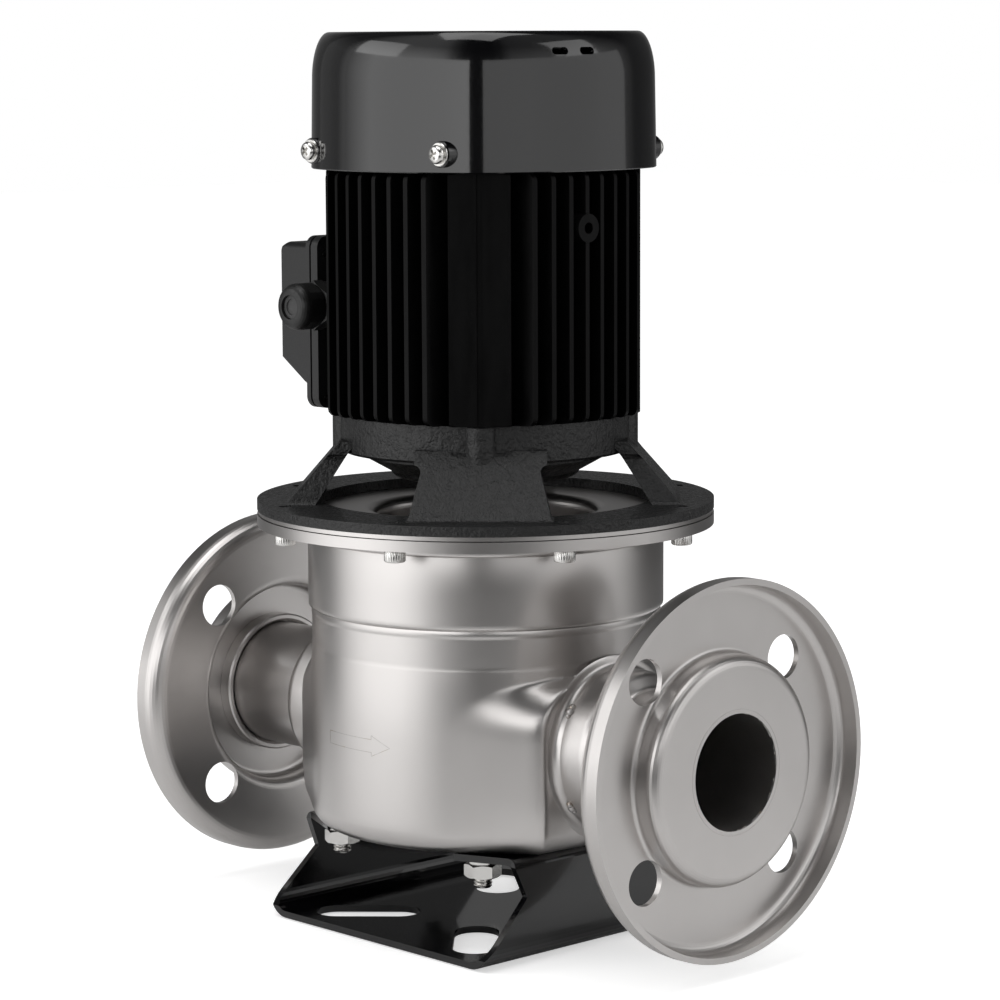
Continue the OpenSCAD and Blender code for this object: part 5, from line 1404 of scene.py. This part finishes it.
def reflected_card(name, levels, reach=1.1):
    """A curved card that only gloss and metal see; levels are (angle from the product view, brightness)."""
    material = bpy.data.materials.new(name)
    material.use_nodes = True
    tree = material.node_tree
    tree.nodes.remove(tree.nodes["Principled BSDF"])
    rays = add_node(tree, "ShaderNodeLightPath").outputs
    level = add_node(tree, "ShaderNodeAttribute", attribute_name="level")
    glow = add_node(tree, "ShaderNodeEmission", {"Color": level})
    clear = add_node(tree, "ShaderNodeBsdfTransparent")
    mix = add_node(tree, "ShaderNodeMixShader", {"Fac": rays["Is Glossy Ray"], 1: clear, 2: glow})
    fill_inputs(tree, tree.nodes["Material Output"], {"Surface": mix})

    bm = bmesh.new()
    layer = bm.verts.layers.float_color.new("level")
    steps = 8
    columns = []
    for (start, low_level), (end, high_level) in zip(levels, levels[1:]):
        last = end == levels[-1][0]
        for step in range(steps + 1 if last else steps):
            share = step / steps
            angle = math.radians(CAMERA_SIDE + start + (end - start) * share)
            brightness = low_level + (high_level - low_level) * share
            x, y = reach * math.cos(angle), reach * math.sin(angle)
            column = [bm.verts.new((x, y, z)) for z in (CARD_BOTTOM, CARD_TOP)]
            for vert in column:
                vert[layer] = (brightness, brightness, brightness, 1)
            columns.append(column)
    for left, right in zip(columns, columns[1:]):
        bm.faces.new((left[0], right[0], right[1], left[1]))
    mesh = bpy.data.meshes.new(name)
    bm.to_mesh(mesh)
    bm.free()
    mesh.materials.append(material)
    card = bpy.data.objects.new(name, mesh)
    bpy.context.scene.collection.objects.link(card)
    return card


def floor_material():
    """Pale floor that keeps the pump's shadow and fades to white for the camera."""
    material = bpy.data.materials.new("pale studio floor")
    material.use_nodes = True
    tree = material.node_tree
    shader = tree.nodes["Principled BSDF"]
    rays = add_node(tree, "ShaderNodeLightPath").outputs
    seen = add_node(tree, "ShaderNodeMath", {0: rays["Is Camera Ray"], 1: 0.55}, operation="MULTIPLY")
    fill_inputs(tree, shader, {
        "Base Color": (0.8, 0.8, 0.8, 1), "Roughness": 0.9,
        "Emission Color": (1, 1, 1, 1), "Emission Strength": seen,
    })
    clear = add_node(tree, "ShaderNodeBsdfTransparent")
    place = add_node(tree, "ShaderNodeTexCoord").outputs["Object"]
    reach = add_node(tree, "ShaderNodeVectorMath", {0: place}, operation="LENGTH")
    fade = add_node(tree, "ShaderNodeMapRange", {
        "From Min": 0.25, "From Max": 0.75, "Value": reach.outputs["Value"],
    })
    open_share = add_node(tree, "ShaderNodeMath", {0: rays["Is Glossy Ray"], 1: fade}, operation="MULTIPLY")
    mix = add_node(tree, "ShaderNodeMixShader", {"Fac": open_share, 1: shader, 2: clear})
    fill_inputs(tree, tree.nodes["Material Output"], {"Surface": mix})
    return material


class PUMP_OT_stage(bpy.types.Operator):
    """Pale floor, soft lights and the camera at the product view"""

    bl_idname = "pump.stage"
    bl_label = "Stage"

    def execute(self, context):
        scene = context.scene
        scene.view_settings.view_transform = "Standard"
        world = bpy.data.worlds.new("Studio")
        scene.world = world
        studio_world(world)

        bm = bmesh.new()
        bmesh.ops.create_grid(bm, x_segments=1, y_segments=1, size=6)
        mesh = bpy.data.meshes.new("floor")
        bm.to_mesh(mesh)
        bm.free()
        mesh.materials.append(floor_material())
        floor = bpy.data.objects.new("floor", mesh)
        floor.location.z = -0.0005
        scene.collection.objects.link(floor)

        reflected_card("left card", LEFT_CARD)
        reflected_card("right card", RIGHT_CARD)
        middle = (0, 0, 0.18)
        area_lamp("left softbox", (-1.1, -1.2, 0.8), middle, 0.9, 1.2, 5)
        area_lamp("right softbox", (1.3, 0.9, 0.9), middle, 0.8, 1.2, 4)
        area_lamp("overhead", (0.1, -0.2, 1.6), middle, 1.2, 1.2, 9)

        camera = bpy.data.cameras.new("product camera")
        camera.sensor_width = 36
        camera.lens = 124.54
        camera.shift_x = 0.0144
        camera.clip_start, camera.clip_end = 0.05, 40
        holder = bpy.data.objects.new("product camera", camera)
        azimuth, pitch, roll = math.radians(46.72), math.radians(7.52), math.radians(-0.29)
        holder.location = (1.0246, -0.9648, 0.3606)
        holder.rotation_euler = (
            Matrix.Rotation(azimuth, 3, "Z")
            @ Matrix.Rotation(math.pi / 2 - pitch, 3, "X")
            @ Matrix.Rotation(roll, 3, "Z")
        ).to_euler()
        scene.collection.objects.link(holder)
        scene.camera = holder
        return {"FINISHED"}


# Panel and registration


class PUMP_PT_panel(bpy.types.Panel):
    """Lists the pump's sizes, colours and pieces"""

    bl_idname = "PUMP_PT_panel"
    bl_label = "Circulation Pump"
    bl_space_type = "VIEW_3D"
    bl_region_type = "UI"
    bl_category = "Pump"

    def draw(self, context):
        layout = self.layout
        for group in (context.scene.pump_sizes, context.scene.pump_colours):
            for name in group.__annotations__:
                layout.prop(group, name)
        for operator in PIECE_OPERATORS:
            layout.operator(operator.bl_idname)


PIECE_OPERATORS = (
    PUMP_OT_finishes,
    PUMP_OT_ring_screws,
    PUMP_OT_base_fasteners,
    PUMP_OT_pot,
    PUMP_OT_hood,
    PUMP_OT_hood_screws,
    PUMP_OT_welds,
    PUMP_OT_flow_arrow,
    PUMP_OT_stage,
)
CLASSES = (PumpSizes, PumpColours, *PIECE_OPERATORS, PUMP_PT_panel)


def register():
    for cls in CLASSES:
        bpy.utils.register_class(cls)
    bpy.types.Scene.pump_sizes = bpy.props.PointerProperty(type=PumpSizes)
    bpy.types.Scene.pump_colours = bpy.props.PointerProperty(type=PumpColours)


def unregister():
    del bpy.types.Scene.pump_colours
    del bpy.types.Scene.pump_sizes
    for cls in reversed(CLASSES):
        bpy.utils.unregister_class(cls)


def main():
    register()
    bpy.ops.pump.finishes()
    bpy.ops.pump.ring_screws()
    bpy.ops.pump.base_fasteners()
    bpy.ops.pump.pot()
    bpy.ops.pump.hood()
    bpy.ops.pump.hood_screws()
    bpy.ops.pump.welds()
    bpy.ops.pump.flow_arrow()
    bpy.ops.pump.stage()


if __name__ == "__main__":
    main()
